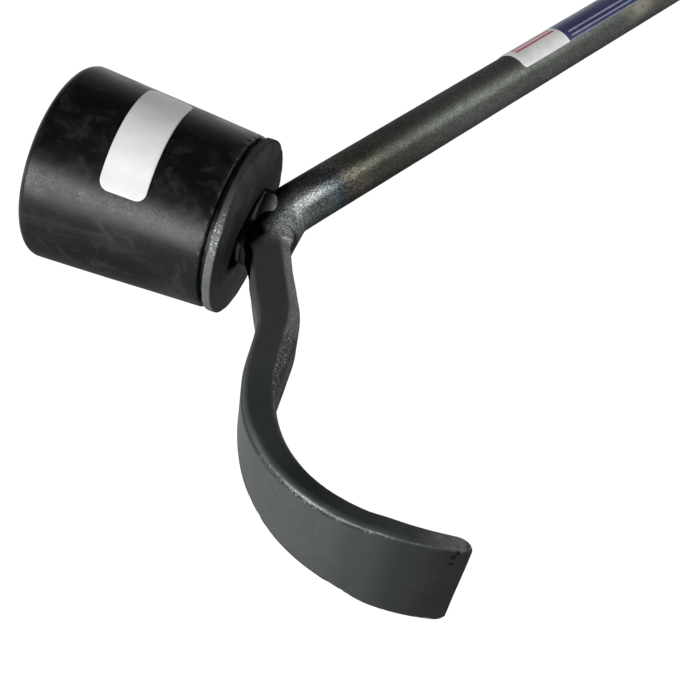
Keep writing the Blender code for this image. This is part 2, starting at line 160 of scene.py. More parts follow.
# ---- materials ---------------------------------------------------------------------
class Net:
    """A node material, written as short calls."""

    def __init__(self, name):
        self.material = bpy.data.materials.new(name)
        self.material.use_nodes = True
        self.tree = self.material.node_tree
        self.shader = self.tree.nodes["Principled BSDF"]

    def node(self, kind, links=None, sockets=None, **props):
        n = self.tree.nodes.new(kind)
        for key, value in props.items():
            setattr(n, key, value)
        for key, value in (sockets or {}).items():
            n.inputs[key].default_value = value
        for key, value in (links or {}).items():
            self.tree.links.new(value, n.inputs[key])
        return n

    def set(self, **values):
        for key, value in values.items():
            self.shader.inputs[key.replace("_", " ")].default_value = value

    def link(self, output, key):
        self.tree.links.new(output, self.shader.inputs[key])

    def spot(self):
        return self.node("ShaderNodeAttribute", attribute_name="spot").outputs["Vector"]

    def mark(self, name):
        return self.node("ShaderNodeAttribute", attribute_name=name).outputs["Fac"]

    def split(self, vector):
        return self.node("ShaderNodeSeparateXYZ", {"Vector": vector}).outputs

    def stretch(self, vector, scale, turn=(0.0, 0.0, 0.0), shift=(0.0, 0.0, 0.0)):
        return self.node("ShaderNodeMapping", {"Vector": vector},
                         {"Scale": scale, "Rotation": turn, "Location": shift}).outputs["Vector"]

    def noise(self, vector, size, detail=3.0, rough=0.55, twist=0.0):
        return self.node("ShaderNodeTexNoise", {"Vector": vector},
                         {"Scale": 1.0 / size, "Detail": detail, "Roughness": rough,
                          "Distortion": twist}).outputs["Fac"]

    def cells(self, vector, size, feature='F1', output="Distance", random=1.0):
        return self.node("ShaderNodeTexVoronoi", {"Vector": vector},
                         {"Scale": 1.0 / size, "Randomness": random}, feature=feature).outputs[output]

    def span(self, value, from_low, from_high, to_low=0.0, to_high=1.0, smooth=True):
        return self.node("ShaderNodeMapRange", {"Value": value},
                         {"From Min": from_low, "From Max": from_high, "To Min": to_low, "To Max": to_high},
                         interpolation_type='SMOOTHSTEP' if smooth else 'LINEAR', clamp=True).outputs["Result"]

    def math(self, operation, a, b=None):
        links, sockets = {}, {}
        for i, v in enumerate((a, b)):
            if v is None:
                continue
            if isinstance(v, (int, float)):
                sockets[i] = v
            else:
                links[i] = v
        return self.node("ShaderNodeMath", links, sockets, operation=operation).outputs[0]

    def mix(self, factor, a, b, blend='MIX'):
        n = self.tree.nodes.new("ShaderNodeMix")
        n.data_type = 'RGBA'
        n.blend_type = blend
        for key, v in ((0, factor), (6, a), (7, b)):
            if isinstance(v, (int, float)):
                n.inputs[key].default_value = v
            elif isinstance(v, tuple):
                n.inputs[key].default_value = (*v, 1.0)
            else:
                self.tree.links.new(v, n.inputs[key])
        return n.outputs[2]

    def ramp(self, value, stops):
        n = self.node("ShaderNodeValToRGB", {"Fac": value})
        n.color_ramp.interpolation = 'EASE'
        elements = n.color_ramp.elements
        while len(elements) < len(stops):
            elements.new(0.5)
        for e, (at, colour) in zip(elements, stops):
            e.position = at
            e.color = (*colour, 1.0)
        return n.outputs["Color"]

    def bump(self, height, distance, strength=1.0, before=None):
        links = {"Height": height}
        if before is not None:
            links["Normal"] = before
        return self.node("ShaderNodeBump", links,
                         {"Distance": distance, "Strength": strength}).outputs["Normal"]


def forged_steel():
    """Hot-formed bar: grey-green oxide with a fine sparkling grain, heat colours by the weld, bare metal on worn edges,
    and painted highlights and shade.
    """
    net = Net("forged_steel")
    spot = net.spot()
    x, y, z = net.split(spot)[:3]
    blotch = net.noise(spot, 16 * MM, 4.0, 0.6)
    cloud = net.noise(spot, 5 * MM, 3.0, 0.6)
    grain = net.noise(spot, 0.45 * MM, 1.0, 0.5)
    grit = net.split(net.cells(spot, 0.48 * MM, 'F1', "Color"))[0]
    open_grain = net.mark("grain")
    # oxide: olive on the handle, cooler on the forged end, paler on the neck's upper face, most on its outer side; a
    # painted highlight around the bend and beside the claw's outer edge
    on_handle = net.span(x, 22 * MM, 36 * MM)
    along_bar = net.mark("along")
    cool = net.mix(net.span(blotch, 0.3, 0.7), (0.090, 0.103, 0.099), (0.106, 0.120, 0.116))
    cool = net.mix(net.mark("midway_dark"), cool, (0.056, 0.066, 0.063))
    cool = net.mix(net.mark("neck"), cool, (0.128, 0.142, 0.136))
    cool = net.mix(net.mark("claw_edge_painted_highlight"), cool, (0.180, 0.194, 0.187))
    cool = net.mix(net.mark("bend_painted_highlight"), cool, (0.350, 0.360, 0.352))
    olive = net.mix(net.span(blotch, 0.3, 0.7), (0.086, 0.092, 0.081), (0.104, 0.110, 0.098))
    # painted light: paler further along the handle
    olive = net.mix(net.span(x, 55 * MM, 95 * MM), olive, net.mix(1.0, olive, (1.28, 1.28, 1.30), 'MULTIPLY'))
    oxide = net.mix(on_handle, cool, olive)
    # painted shade: the handle's underside near the bend, and the bar's side by the head
    oxide = net.mix(net.mark("under"), oxide, net.mix(1.0, oxide, (0.70, 0.70, 0.70), 'MULTIPLY'))
    oxide = net.mix(net.mark("shade"), oxide, net.mix(1.0, oxide, (0.25, 0.25, 0.23), 'MULTIPLY'))
    oxide = net.mix(net.span(cloud, 0.42, 0.75, 0.0, 0.22), oxide, (0.040, 0.044, 0.042))
    # the bevel beside the neck's upper face: a painted highlight, warm and pale at the top, darker further down
    painted_bevel_highlight = net.ramp(along_bar, [(0.0, (0.190, 0.190, 0.178)), (0.15, (0.180, 0.179, 0.167)), (0.22, (0.125, 0.124, 0.115)),
                                (0.28, (0.058, 0.057, 0.053)), (0.40, (0.044, 0.044, 0.041))])
    oxide = net.mix(net.mark("bevel"), oxide, painted_bevel_highlight)
    # painted shade in the crease inside the bend, and a darker outermost corner of the claw
    oxide = net.mix(net.mark("crease_shade_and_dark_tip"), oxide, (0.026, 0.026, 0.023))
    # light and dark grains
    sparkle = net.math('MULTIPLY', net.span(grit, 0.60, 0.95, 0.0, 0.50), open_grain)
    oxide = net.mix(sparkle, oxide, net.mix(1.0, oxide, (2.6, 2.6, 2.6), 'MULTIPLY'))
    gloom = net.math('MULTIPLY', net.span(grit, 0.06, 0.46, 0.45, 0.0), open_grain)
    oxide = net.mix(gloom, oxide, net.mix(1.0, oxide, (0.22, 0.22, 0.22), 'MULTIPLY'))
    flecks = net.math('MULTIPLY', net.mark("fleck"), net.span(net.noise(spot, 0.42 * MM, 2.0, 0.6), 0.60, 0.66))
    oxide = net.mix(flecks, oxide, (0.36, 0.36, 0.33))
    # the outside of the neck and claw: a painted reflection, palest at the claw's root, dark at its edge
    pale = net.ramp(along_bar, [(0.06, (0.078, 0.084, 0.082)), (0.25, (0.078, 0.084, 0.081)), (0.42, (0.122, 0.129, 0.126)),
                                (0.55, (0.086, 0.093, 0.091)), (0.73, (0.067, 0.073, 0.071)), (0.81, (0.045, 0.050, 0.048)),
                                (0.89, (0.024, 0.027, 0.026)), (0.97, (0.015, 0.016, 0.015))])
    pale = net.mix(net.span(blotch, 0.35, 0.70, 0.0, 0.22), pale, (0.030, 0.033, 0.032))
    scar = net.noise(net.stretch(spot, (1.0, 1.0, 0.35), (0.3, 0.2, 0.5)), 1.4 * MM, 4.0, 0.7)
    pale = net.mix(net.span(scar, 0.60, 0.72, 0.0, 0.55), pale, net.mix(1.0, pale, (1.7, 1.7, 1.7), 'MULTIPLY'))
    oxide = net.mix(net.mark("blade"), oxide, pale)
    # a streaked painted highlight on the rounded end of the claw
    streak = net.noise(net.stretch(spot, (1.0, 1.0, 0.25)), 1.6 * MM, 3.0, 0.6)
    oxide = net.mix(net.mark("tip_painted_highlight"), oxide, net.mix(net.span(streak, 0.35, 0.65), (0.215, 0.219, 0.206), (0.300, 0.304, 0.288)))
    # heat colours on the handle beside the weld, on the side away from the head
    wander = net.math('ADD', x, net.math('MULTIPLY', net.math('SUBTRACT', cloud, 0.5), 6 * MM))
    wander = net.math('ADD', wander, net.math('MULTIPLY', y, 0.35))
    place = net.span(wander, 12 * MM, 75 * MM, smooth=False)
    tint = net.ramp(place, [(0.0, (1.0, 1.0, 1.0)), (0.15, (1.0, 1.01, 1.03)), (0.195, (0.88, 0.95, 1.05)),
                            (0.235, (0.60, 0.66, 0.88)), (0.275, (0.80, 0.70, 0.68)), (0.35, (0.98, 0.86, 0.76)),
                            (0.55, (0.66, 0.635, 0.59)), (0.75, (0.78, 0.77, 0.735)), (1.0, (1.0, 1.0, 1.0))])
    tinted = net.mix(1.0, oxide, tint, 'MULTIPLY')
    colour = net.mix(net.span(y, -5 * MM, 2.5 * MM, 1.0, 0.22), oxide, tinted)
    # a tan patch on the handle, weld soot and painted shade, then bare rubbed metal and deep pits
    colour = net.mix(net.math('MULTIPLY', net.mark("tan_patch"), net.span(cloud, 0.22, 0.52)), colour, (0.280, 0.258, 0.212))
    colour = net.mix(net.mark("soot_and_shade"), colour, (0.0025, 0.0025, 0.0025))
    # painted shade along the claw's outer arris
    colour = net.mix(net.math('MULTIPLY', net.mark("arris"), 0.85), colour, (0.028, 0.031, 0.030))
    rubbed_and_sheen = net.math('MULTIPLY', net.mark("wear"), net.span(net.noise(spot, 0.7 * MM, 3.0, 0.7), 0.48, 0.62))
    colour = net.mix(rubbed_and_sheen, colour, (0.20, 0.21, 0.205))
    colour = net.mix(net.mark("pit"), colour, (0.003, 0.003, 0.003))
    net.link(colour, "Base Color")
    # scale on the claw is duller than on the bar, and the soot and painted shade don't shine at all
    scaled = net.span(net.mark("blade"), 0.0, 1.0, 0.85, 0.40)
    net.link(net.math('MAXIMUM', scaled, net.mark("soot_and_shade")), "Metallic")
    net.link(net.mix(net.mark("soot_and_shade"), (0.30, 0.30, 0.30), (0.02, 0.02, 0.02)), "Specular Tint")
    net.set(Specular_IOR_Level=0.15)
    soot_and_shade_extra = net.math('ADD', net.math('MULTIPLY', net.mark("soot_and_shade"), 0.35), net.span(x, 38 * MM, 60 * MM, 0.0, 0.12))
    net.link(net.math('ADD', net.span(cloud, 0.3, 0.7, 0.33, 0.40), soot_and_shade_extra), "Roughness")
    first = net.bump(net.math('MULTIPLY', grain, open_grain), 0.19 * MM, 0.9)
    net.link(net.bump(cloud, 0.15 * MM, 0.15, first), "Normal")
    return net.material


def plate_steel():
    """Punched plate: dull scale on the faces, a lighter sheared edge, painted light and shade round that edge."""
    net = Net("plate_steel")
    spot = net.spot()
    blotch = net.noise(spot, 9 * MM, 4.0, 0.6)
    grain = net.noise(spot, 0.55 * MM, 1.0, 0.5)
    scale = net.noise(spot, 0.60 * MM, 2.0, 0.6)
    face = net.mix(net.span(blotch, 0.3, 0.7), (0.058, 0.061, 0.055), (0.080, 0.083, 0.075))
    edge = net.mix(net.span(blotch, 0.35, 0.65), (0.072, 0.079, 0.076), (0.090, 0.097, 0.093))
    # a lighter sheared edge, its paler tone kept on one side only as painted light
    colour = net.mix(net.mark("edge"), face, edge)
    # scale flakes, partly painted glints
    flaked_and_glinting = net.math('MULTIPLY', net.mark("flake_and_glint"), net.span(scale, 0.57, 0.65))
    colour = net.mix(flaked_and_glinting, colour, (0.36, 0.37, 0.35))
    rubbed_and_sheen = net.math('MULTIPLY', net.mark("wear"), net.span(net.noise(spot, 1.1 * MM, 3.0, 0.7), 0.44, 0.60))
    colour = net.mix(rubbed_and_sheen, colour, (0.20, 0.21, 0.20))
    # painted shade on the edge's arrises, away from the lit side
    colour = net.mix(net.mark("darkened"), colour, (0.020, 0.021, 0.019))
    # weld soot and painted shade around the joint
    colour = net.mix(net.mark("soot_and_shade"), colour, (0.0025, 0.0025, 0.0025))
    net.link(colour, "Base Color")
    # the sheared edge is dull, and the soot and painted shade don't shine at all
    sheared = net.span(net.mark("edge"), 0.0, 1.0, 0.80, 0.25)
    net.link(net.math('MAXIMUM', sheared, net.mark("soot_and_shade")), "Metallic")
    net.link(net.mix(net.mark("soot_and_shade"), (0.28, 0.28, 0.28), (0.02, 0.02, 0.02)), "Specular Tint")
    net.set(Specular_IOR_Level=0.15)
    net.link(net.math('ADD', net.span(blotch, 0.3, 0.7, 0.44, 0.56), net.math('MULTIPLY', net.mark("soot_and_shade"), 0.35)), "Roughness")
    first = net.bump(grain, 0.12 * MM, 0.30)
    net.link(net.bump(net.math('MULTIPLY', scale, net.mark("flake_and_glint")), 0.25 * MM, 0.6, first), "Normal")
    return net.material


def weld_steel():
    """Weld metal: dark oxide in the valleys, dull grey on the crests."""
    net = Net("weld_steel")
    spot = net.spot()
    cloud = net.noise(spot, 2.5 * MM, 3.0, 0.6)
    grain = net.noise(spot, 0.45 * MM, 2.0, 0.6)
    colour = net.mix(net.mark("crest"), (0.040, 0.041, 0.039), (0.230, 0.235, 0.228))
    colour = net.mix(net.span(cloud, 0.45, 0.70, 0.0, 0.45), colour, (0.045, 0.046, 0.044))
    colour = net.mix(net.span(grain, 0.55, 0.75, 0.0, 0.25), colour, (0.20, 0.205, 0.20))
    # the ends that run out into the joint are sooty, and the side towards the disc is painted shade
    colour = net.mix(net.mark("soot_and_shade"), colour, (0.004, 0.004, 0.004))
    net.link(colour, "Base Color")
    net.set(Metallic=0.6, Specular_Tint=(0.25, 0.25, 0.25, 1.0), Specular_IOR_Level=0.15)
    net.link(net.span(cloud, 0.3, 0.7, 0.44, 0.58), "Roughness")
    net.link(net.bump(grain, 0.08 * MM, 0.4), "Normal")
    return net.material


def moulded_rubber():
    """Black moulded rubber: satin, with handling smears, dusty scuffs, fine scratches and a rubbed stripe that is
    partly painted sheen.
    """
    net = Net("moulded_rubber")
    spot = net.spot()
    smear = net.noise(net.stretch(spot, (1.0, 1.0, 0.40), (0.5, 0.2, 0.3)), 9 * MM, 5.0, 0.62, 0.8)
    patch = net.noise(net.stretch(spot, (1.0, 0.7, 1.0), (0.2, 0.4, 0.1)), 6 * MM, 4.0, 0.60, 0.6)
    haze = net.noise(spot, 22 * MM, 3.0, 0.5)
    dust = net.noise(spot, 0.9 * MM, 4.0, 0.7)
    grain = net.noise(spot, 0.40 * MM, 2.0, 0.6)
    rub = net.noise(net.stretch(spot, (1.0, 0.5, 1.0), (0.0, 0.0, 0.6)), 0.5 * MM, 3.0, 0.65)
    line = net.cells(net.stretch(spot, (1.0, 1.0, 0.12), (0.9, 0.4, 0.7)), 7 * MM, 'DISTANCE_TO_EDGE')
    dusty = net.math('MULTIPLY', net.mark("scuff"), net.span(dust, 0.38, 0.66))
    rubbed_and_sheen = net.math('MULTIPLY', net.mark("rubbed_and_sheen"), net.span(rub, 0.32, 0.74))
    black = net.mix(net.span(smear, 0.52, 0.74), (0.0012, 0.0015, 0.0015), (0.0085, 0.0094, 0.0092))
    colour = net.mix(net.span(haze, 0.45, 0.7, 0.0, 0.30), black, (0.0042, 0.0046, 0.0046))
    colour = net.mix(net.span(patch, 0.52, 0.66, 0.0, 0.55), colour, (0.0125, 0.0140, 0.0137))
    # the rubbed stripe, partly painted sheen
    colour = net.mix(net.math('MULTIPLY', rubbed_and_sheen, 0.80), colour, (0.120, 0.120, 0.115))
    colour = net.mix(dusty, colour, (0.105, 0.107, 0.103))
    scratch = net.math('MULTIPLY', net.span(line, 0.0, 0.007, 1.0, 0.0), net.span(smear, 0.52, 0.66))
    colour = net.mix(net.math('MULTIPLY', scratch, 0.25), colour, (0.060, 0.063, 0.061))
    net.link(colour, "Base Color")
    rough = net.math('ADD', net.span(smear, 0.35, 0.72, 0.32, 0.42), net.math('MULTIPLY', dusty, 0.25))
    net.link(net.math('ADD', rough, net.span(patch, 0.40, 0.64, -0.03, 0.05)), "Roughness")
    net.set(Specular_IOR_Level=0.22)
    rubble = net.math('ADD', grain, net.math('MULTIPLY', rubbed_and_sheen, 0.8))
    first = net.bump(rubble, 0.05 * MM, 0.35)
    net.link(net.bump(smear, 0.12 * MM, 0.15, first), "Normal")
    return net.material


def zinc_plate():
    """Bright zinc on the nut, washers and stud."""
    net = Net("zinc_plate")
    coords = net.node("ShaderNodeTexCoord").outputs["Object"]
    spangle = net.cells(coords, 1.2 * MM, output="Color")
    value = net.split(spangle)[0]
    cloud = net.noise(coords, 3 * MM, 3.0, 0.6)
    colour = net.mix(value, (0.46, 0.47, 0.48), (0.62, 0.63, 0.64))
    colour = net.mix(net.span(cloud, 0.5, 0.8, 0.0, 0.5), colour, (0.36, 0.35, 0.31))
    net.link(colour, "Base Color")
    net.set(Metallic=1.0)
    net.link(net.span(cloud, 0.3, 0.7, 0.26, 0.42), "Roughness")
    net.link(net.bump(cloud, 0.06 * MM, 0.3), "Normal")
    return net.material


def white_film():
    """Plain white sticker film with a faint satin unevenness and painted shade at its rim."""
    net = Net("white_film")
    spot = net.spot()
    cloud = net.noise(spot, 6 * MM, 3.0, 0.5)
    fibre = net.noise(net.stretch(spot, (1.0, 1.0, 4.0)), 0.6 * MM, 3.0, 0.6)
    colour = net.mix(net.span(cloud, 0.3, 0.7), (0.560, 0.565, 0.560), (0.605, 0.61, 0.605))
    colour = net.mix(net.span(fibre, 0.5, 0.8, 0.0, 0.20), colour, (0.535, 0.54, 0.535))
    # darker towards one end
    v = net.split(net.node("ShaderNodeUVMap", uv_map="UVMap").outputs["UV"])[1]
    end_to_end_tone = net.ramp(v, [(0.0, (0.85, 0.85, 0.85)), (0.09, (0.88, 0.88, 0.88)), (0.20, (0.98, 0.98, 0.98)), (0.85, (1.09, 1.09, 1.08))])
    colour = net.mix(1.0, colour, end_to_end_tone, 'MULTIPLY')
    # painted shade along the rim
    colour = net.mix(net.math('MULTIPLY', net.mark("rim"), 0.55), colour, (0.42, 0.42, 0.41))
    net.link(colour, "Base Color")
    net.link(net.span(cloud, 0.3, 0.7, 0.42, 0.52), "Roughness")
    net.set(Specular_IOR_Level=0.18)
    net.link(net.bump(fibre, 0.03 * MM, 0.3), "Normal")
    return net.material


def printed_film():
    """Sticker film with a plain white panel and a plain navy panel, crossed by straight rules."""
    net = Net("printed_film")
    spot = net.spot()
    uv = net.node("ShaderNodeUVMap", uv_map="UVMap").outputs["UV"]
    u, v = net.split(uv)[:2]
    cloud = net.noise(spot, 5 * MM, 3.0, 0.5)
    fibre = net.noise(spot, 0.5 * MM, 3.0, 0.6)

    def band(value, low, high, soft):
        return net.math('MULTIPLY', net.span(value, low - soft, low + soft), net.span(value, high - soft, high + soft, 1.0, 0.0))

    white = net.mix(net.span(cloud, 0.3, 0.7), (0.60, 0.61, 0.60), (0.68, 0.685, 0.67))
    navy = net.mix(net.span(cloud, 0.3, 0.7), (0.017, 0.022, 0.082), (0.025, 0.030, 0.105))
    red = net.mix(net.span(cloud, 0.3, 0.7), (0.40, 0.022, 0.050), (0.48, 0.040, 0.065))
    pale = net.mix(net.span(cloud, 0.3, 0.7), (0.22, 0.23, 0.27), (0.30, 0.31, 0.35))
    # panels along the handle; rules run along it too
    on_navy = net.span(u, 0.2985, 0.3005)
    on_white = band(u, 0.030, 0.280, 0.002)
    stripes = net.math('MAXIMUM', band(v, 0.600, 0.650, 0.010), band(v, 0.685, 0.730, 0.010))
    colour = net.mix(net.math('MULTIPLY', on_white, stripes), white, red)
    rules = net.math('MAXIMUM', band(v, 0.850, 0.875, 0.006), band(v, 0.925, 0.945, 0.006))
    colour = net.mix(on_navy, colour, navy)
    colour = net.mix(net.math('MULTIPLY', rules, band(u, 0.330, 0.930, 0.002)), colour, pale)
    colour = net.mix(net.span(fibre, 0.52, 0.8, 0.0, 0.20), colour, (0.34, 0.35, 0.37))
    # painted shade along the rim
    colour = net.mix(net.math('MULTIPLY', net.mark("rim"), 0.6), colour, (0.36, 0.36, 0.36))
    net.link(colour, "Base Color")
    net.link(net.span(cloud, 0.3, 0.7, 0.30, 0.42), "Roughness")
    net.link(net.bump(fibre, 0.03 * MM, 0.3), "Normal")
    return net.material


STEEL = forged_steel()
PLATE = plate_steel()
WELD = weld_steel()
RUBBER = moulded_rubber()
ZINC = zinc_plate()
WHITE = white_film()
PRINT = printed_film()

# ---- the bar -----------------------------------------------------------------------
BAR_R = 8.0 * MM
HANDLE_CHAMFER = 1.2 * MM
BEND_ANGLE, BEND_R = 58.0 * DEG, 17.5 * MM
BEND_SPREAD = 0.26
NECK_LEN = 26.5 * MM
KICK_ANGLE, KICK_R, KICK_RUN = 26.0 * DEG, 25.0 * MM, 12.0 * MM
CLAW_R1, CLAW_SWEEP1 = 43.0 * MM, 70.5 * DEG
CLAW_R2, CLAW_SWEEP2 = 69.0 * MM, 31.3 * DEG
# sections past the end of the bend, in mm: run, outer half, inner half, half width,
# then corners: outer upper, inner upper, both lower
SECTION = (
    (-9.0, 8.0, 8.0, 8.0, 8.0, 8.0, 8.0), (-3.0, 7.4, 8.0, 8.0, 7.2, 6.8, 8.0), (1.0, 5.7, 7.9, 8.1, 4.2, 5.2, 7.8),
    (6.5, 5.2, 7.3, 8.4, 2.2, 4.0, 7.1), (13.0, 6.3, 6.6, 8.8, 2.0, 3.5, 6.2), (19.0, 7.0, 6.25, 9.4, 2.0, 3.5, 5.6),
    (27.0, 7.4, 5.8, 10.2, 2.0, 3.8, 5.0), (31.0, 7.2, 5.7, 10.4, 2.0, 4.1, 4.8), (37.0, 6.5, 5.6, 10.65, 2.1, 4.2, 4.3),
    (45.0, 5.8, 5.5, 10.9, 2.2, 3.4, 3.8), (59.0, 5.0, 5.0, 11.3, 2.2, 2.0, 2.4), (76.0, 4.2, 4.2, 13.4, 2.1, 1.2, 1.2),
    (95.0, 3.3, 3.3, 16.1, 1.8, 1.0, 0.9), (112.0, 2.9, 2.95, 18.0, 1.2, 0.9, 0.8), (119.0, 2.75, 2.95, 19.4, 0.9, 0.9, 0.8),
    (130.0, 2.25, 2.75, 19.9, 0.6, 0.8, 0.7), (141.0, 1.6, 2.15, 20.1, 0.5, 0.7, 0.6))
EDGE_ROUND, NEAR_CORNER = 4.2 * MM, 1.2 * MM
FAR_RUN, FAR_DROP = 2.9 * MM, 4.4 * MM
# inside of the bend: one straight facet between handle and neck
FACET_FROM, FACET_TO = (13.5 * MM, -8.0 * MM), (0.15 * MM, -14.45 * MM)
RING = 144


def smooth_table(at, column):
    xs = [row[0] * MM for row in SECTION]
    ys = [row[column] * MM for row in SECTION]
    if at <= xs[0]:
        return ys[0]
    if at >= xs[-1]:
        return ys[-1]
    runs = [(ys[i + 1] - ys[i]) / (xs[i + 1] - xs[i]) for i in range(len(xs) - 1)]
    slopes = [runs[0]]
    for a, b in zip(runs, runs[1:]):
        slopes.append(0.0 if a * b <= 0.0 else 2.0 * a * b / (a + b))
    slopes.append(runs[-1])
    for i in range(len(runs)):
        if at <= xs[i + 1]:
            h = xs[i + 1] - xs[i]
            t = (at - xs[i]) / h
            return ((2 * t ** 3 - 3 * t ** 2 + 1) * ys[i] + (t ** 3 - 2 * t ** 2 + t) * h * slopes[i]
                    + (3 * t ** 2 - 2 * t ** 3) * ys[i + 1] + (t ** 3 - t ** 2) * h * slopes[i + 1])
    return ys[-1]


def bar_stations():
    """(run from the start of the bend, x, y, heading) from the handle's end to the claw's edge."""
    start = BEND_R * math.tan(BEND_ANGLE / 2)
    out = []
    for back in (0.0, 0.25, 0.6, 1.0, 1.2, 1.6, 2.4):
        at = HANDLE_LEN - back * MM
        out.append((start - at, at, 0.0, math.pi))
    count = math.ceil((HANDLE_LEN - 2.4 * MM - start) / (1.1 * MM))
    for k in range(1, count + 1):
        at = HANDLE_LEN - 2.4 * MM + (start - HANDLE_LEN + 2.4 * MM) * k / count
        out.append((start - at, at, 0.0, math.pi))
    x, y, heading, run = start, 0.0, math.pi, 0.0

    def arc(radius, angle, step):
        nonlocal x, y, heading, run
        count = math.ceil(radius * abs(angle) / step)
        turn = angle / count
        chord = 2 * radius * math.sin(abs(turn) / 2)
        for _ in range(count):
            x += chord * math.cos(heading + turn / 2)
            y += chord * math.sin(heading + turn / 2)
            heading += turn
            run += radius * abs(turn)
            out.append((run, x, y, heading))

    def line(length, step):
        nonlocal x, y, run
        count = math.ceil(length / step)
        for _ in range(count):
            x += length / count * math.cos(heading)
            y += length / count * math.sin(heading)
            run += length / count
            out.append((run, x, y, heading))

    arc(BEND_R, BEND_ANGLE, 0.4 * MM)
    line(NECK_LEN, 0.6 * MM)
    arc(KICK_R, -KICK_ANGLE, 0.6 * MM)
    line(KICK_RUN, 0.6 * MM)
    arc(CLAW_R1, CLAW_SWEEP1, 0.6 * MM)
    arc(CLAW_R2, CLAW_SWEEP2, 0.6 * MM)
    end = out[-1]
    while end[0] - out[-1][0] < 4.5 * MM:
        out.pop()
    turn_rate = 1.0 / CLAW_R2
    for back in (4.4, 4.0, 3.6, 3.2, 2.8, 2.4, 2.0, 1.6, 1.25, 0.95, 0.7, 0.48, 0.3, 0.16, 0.06, 0.0):
        back *= MM
        half = back * turn_rate / 2
        out.append((end[0] - back, end[1] - back * math.cos(end[3] - half),
                    end[2] - back * math.sin(end[3] - half), end[3] - 2 * half))
    return out


def rounded_outline(outside, inside, upper, lower, corners):
    """Points around a section, closer at its corners: (across, width, distance to a corner).

    corners holds (radius, flatness) for outer upper, inner upper, inner lower and outer lower;
    a flatness under 1 turns the middle of the round into a bevel.
    """
    quarter = RING // 4
    points = []
    for q in range(4):
        out_side = q in (0, 3)
        depth = outside if out_side else inside
        side = 1.0 if q in (0, 1) else -1.0
        half = upper if side > 0 else lower
        radius, flatness = corners[q]
        radius = min(radius, depth, half)
        flat_w, bow, flat_t = half - radius, radius * math.pi / 2, depth - radius
        total = flat_w + 3.0 * bow + flat_t
        for j in range(quarter):
            t = j / quarter
            if q in (1, 3):
                t = 1.0 - t
            s = t * total
            # from the middle of the face towards the middle of the edge
            if s <= flat_w:
                a, b, near = depth, s, flat_w - s
            elif s <= flat_w + 3.0 * bow:
                angle = (s - flat_w) / (3.0 * bow) * math.pi / 2
                reach = radius
                if flatness < 0.999:
                    reach *= (1.0 + (math.cos(angle - math.pi / 4) / flatness) ** 14) ** (-1.0 / 14)
                    reach /= (1.0 + (math.cos(math.pi / 4) / flatness) ** 14) ** (-1.0 / 14)
                a = depth - radius + reach * math.cos(angle)
                b = half - radius + reach * math.sin(angle)
                near = 0.0
            else:
                near = s - flat_w - 3.0 * bow
                a, b = depth - radius - near, half
            points.append((a if out_side else -a, side * b, near))
    return points


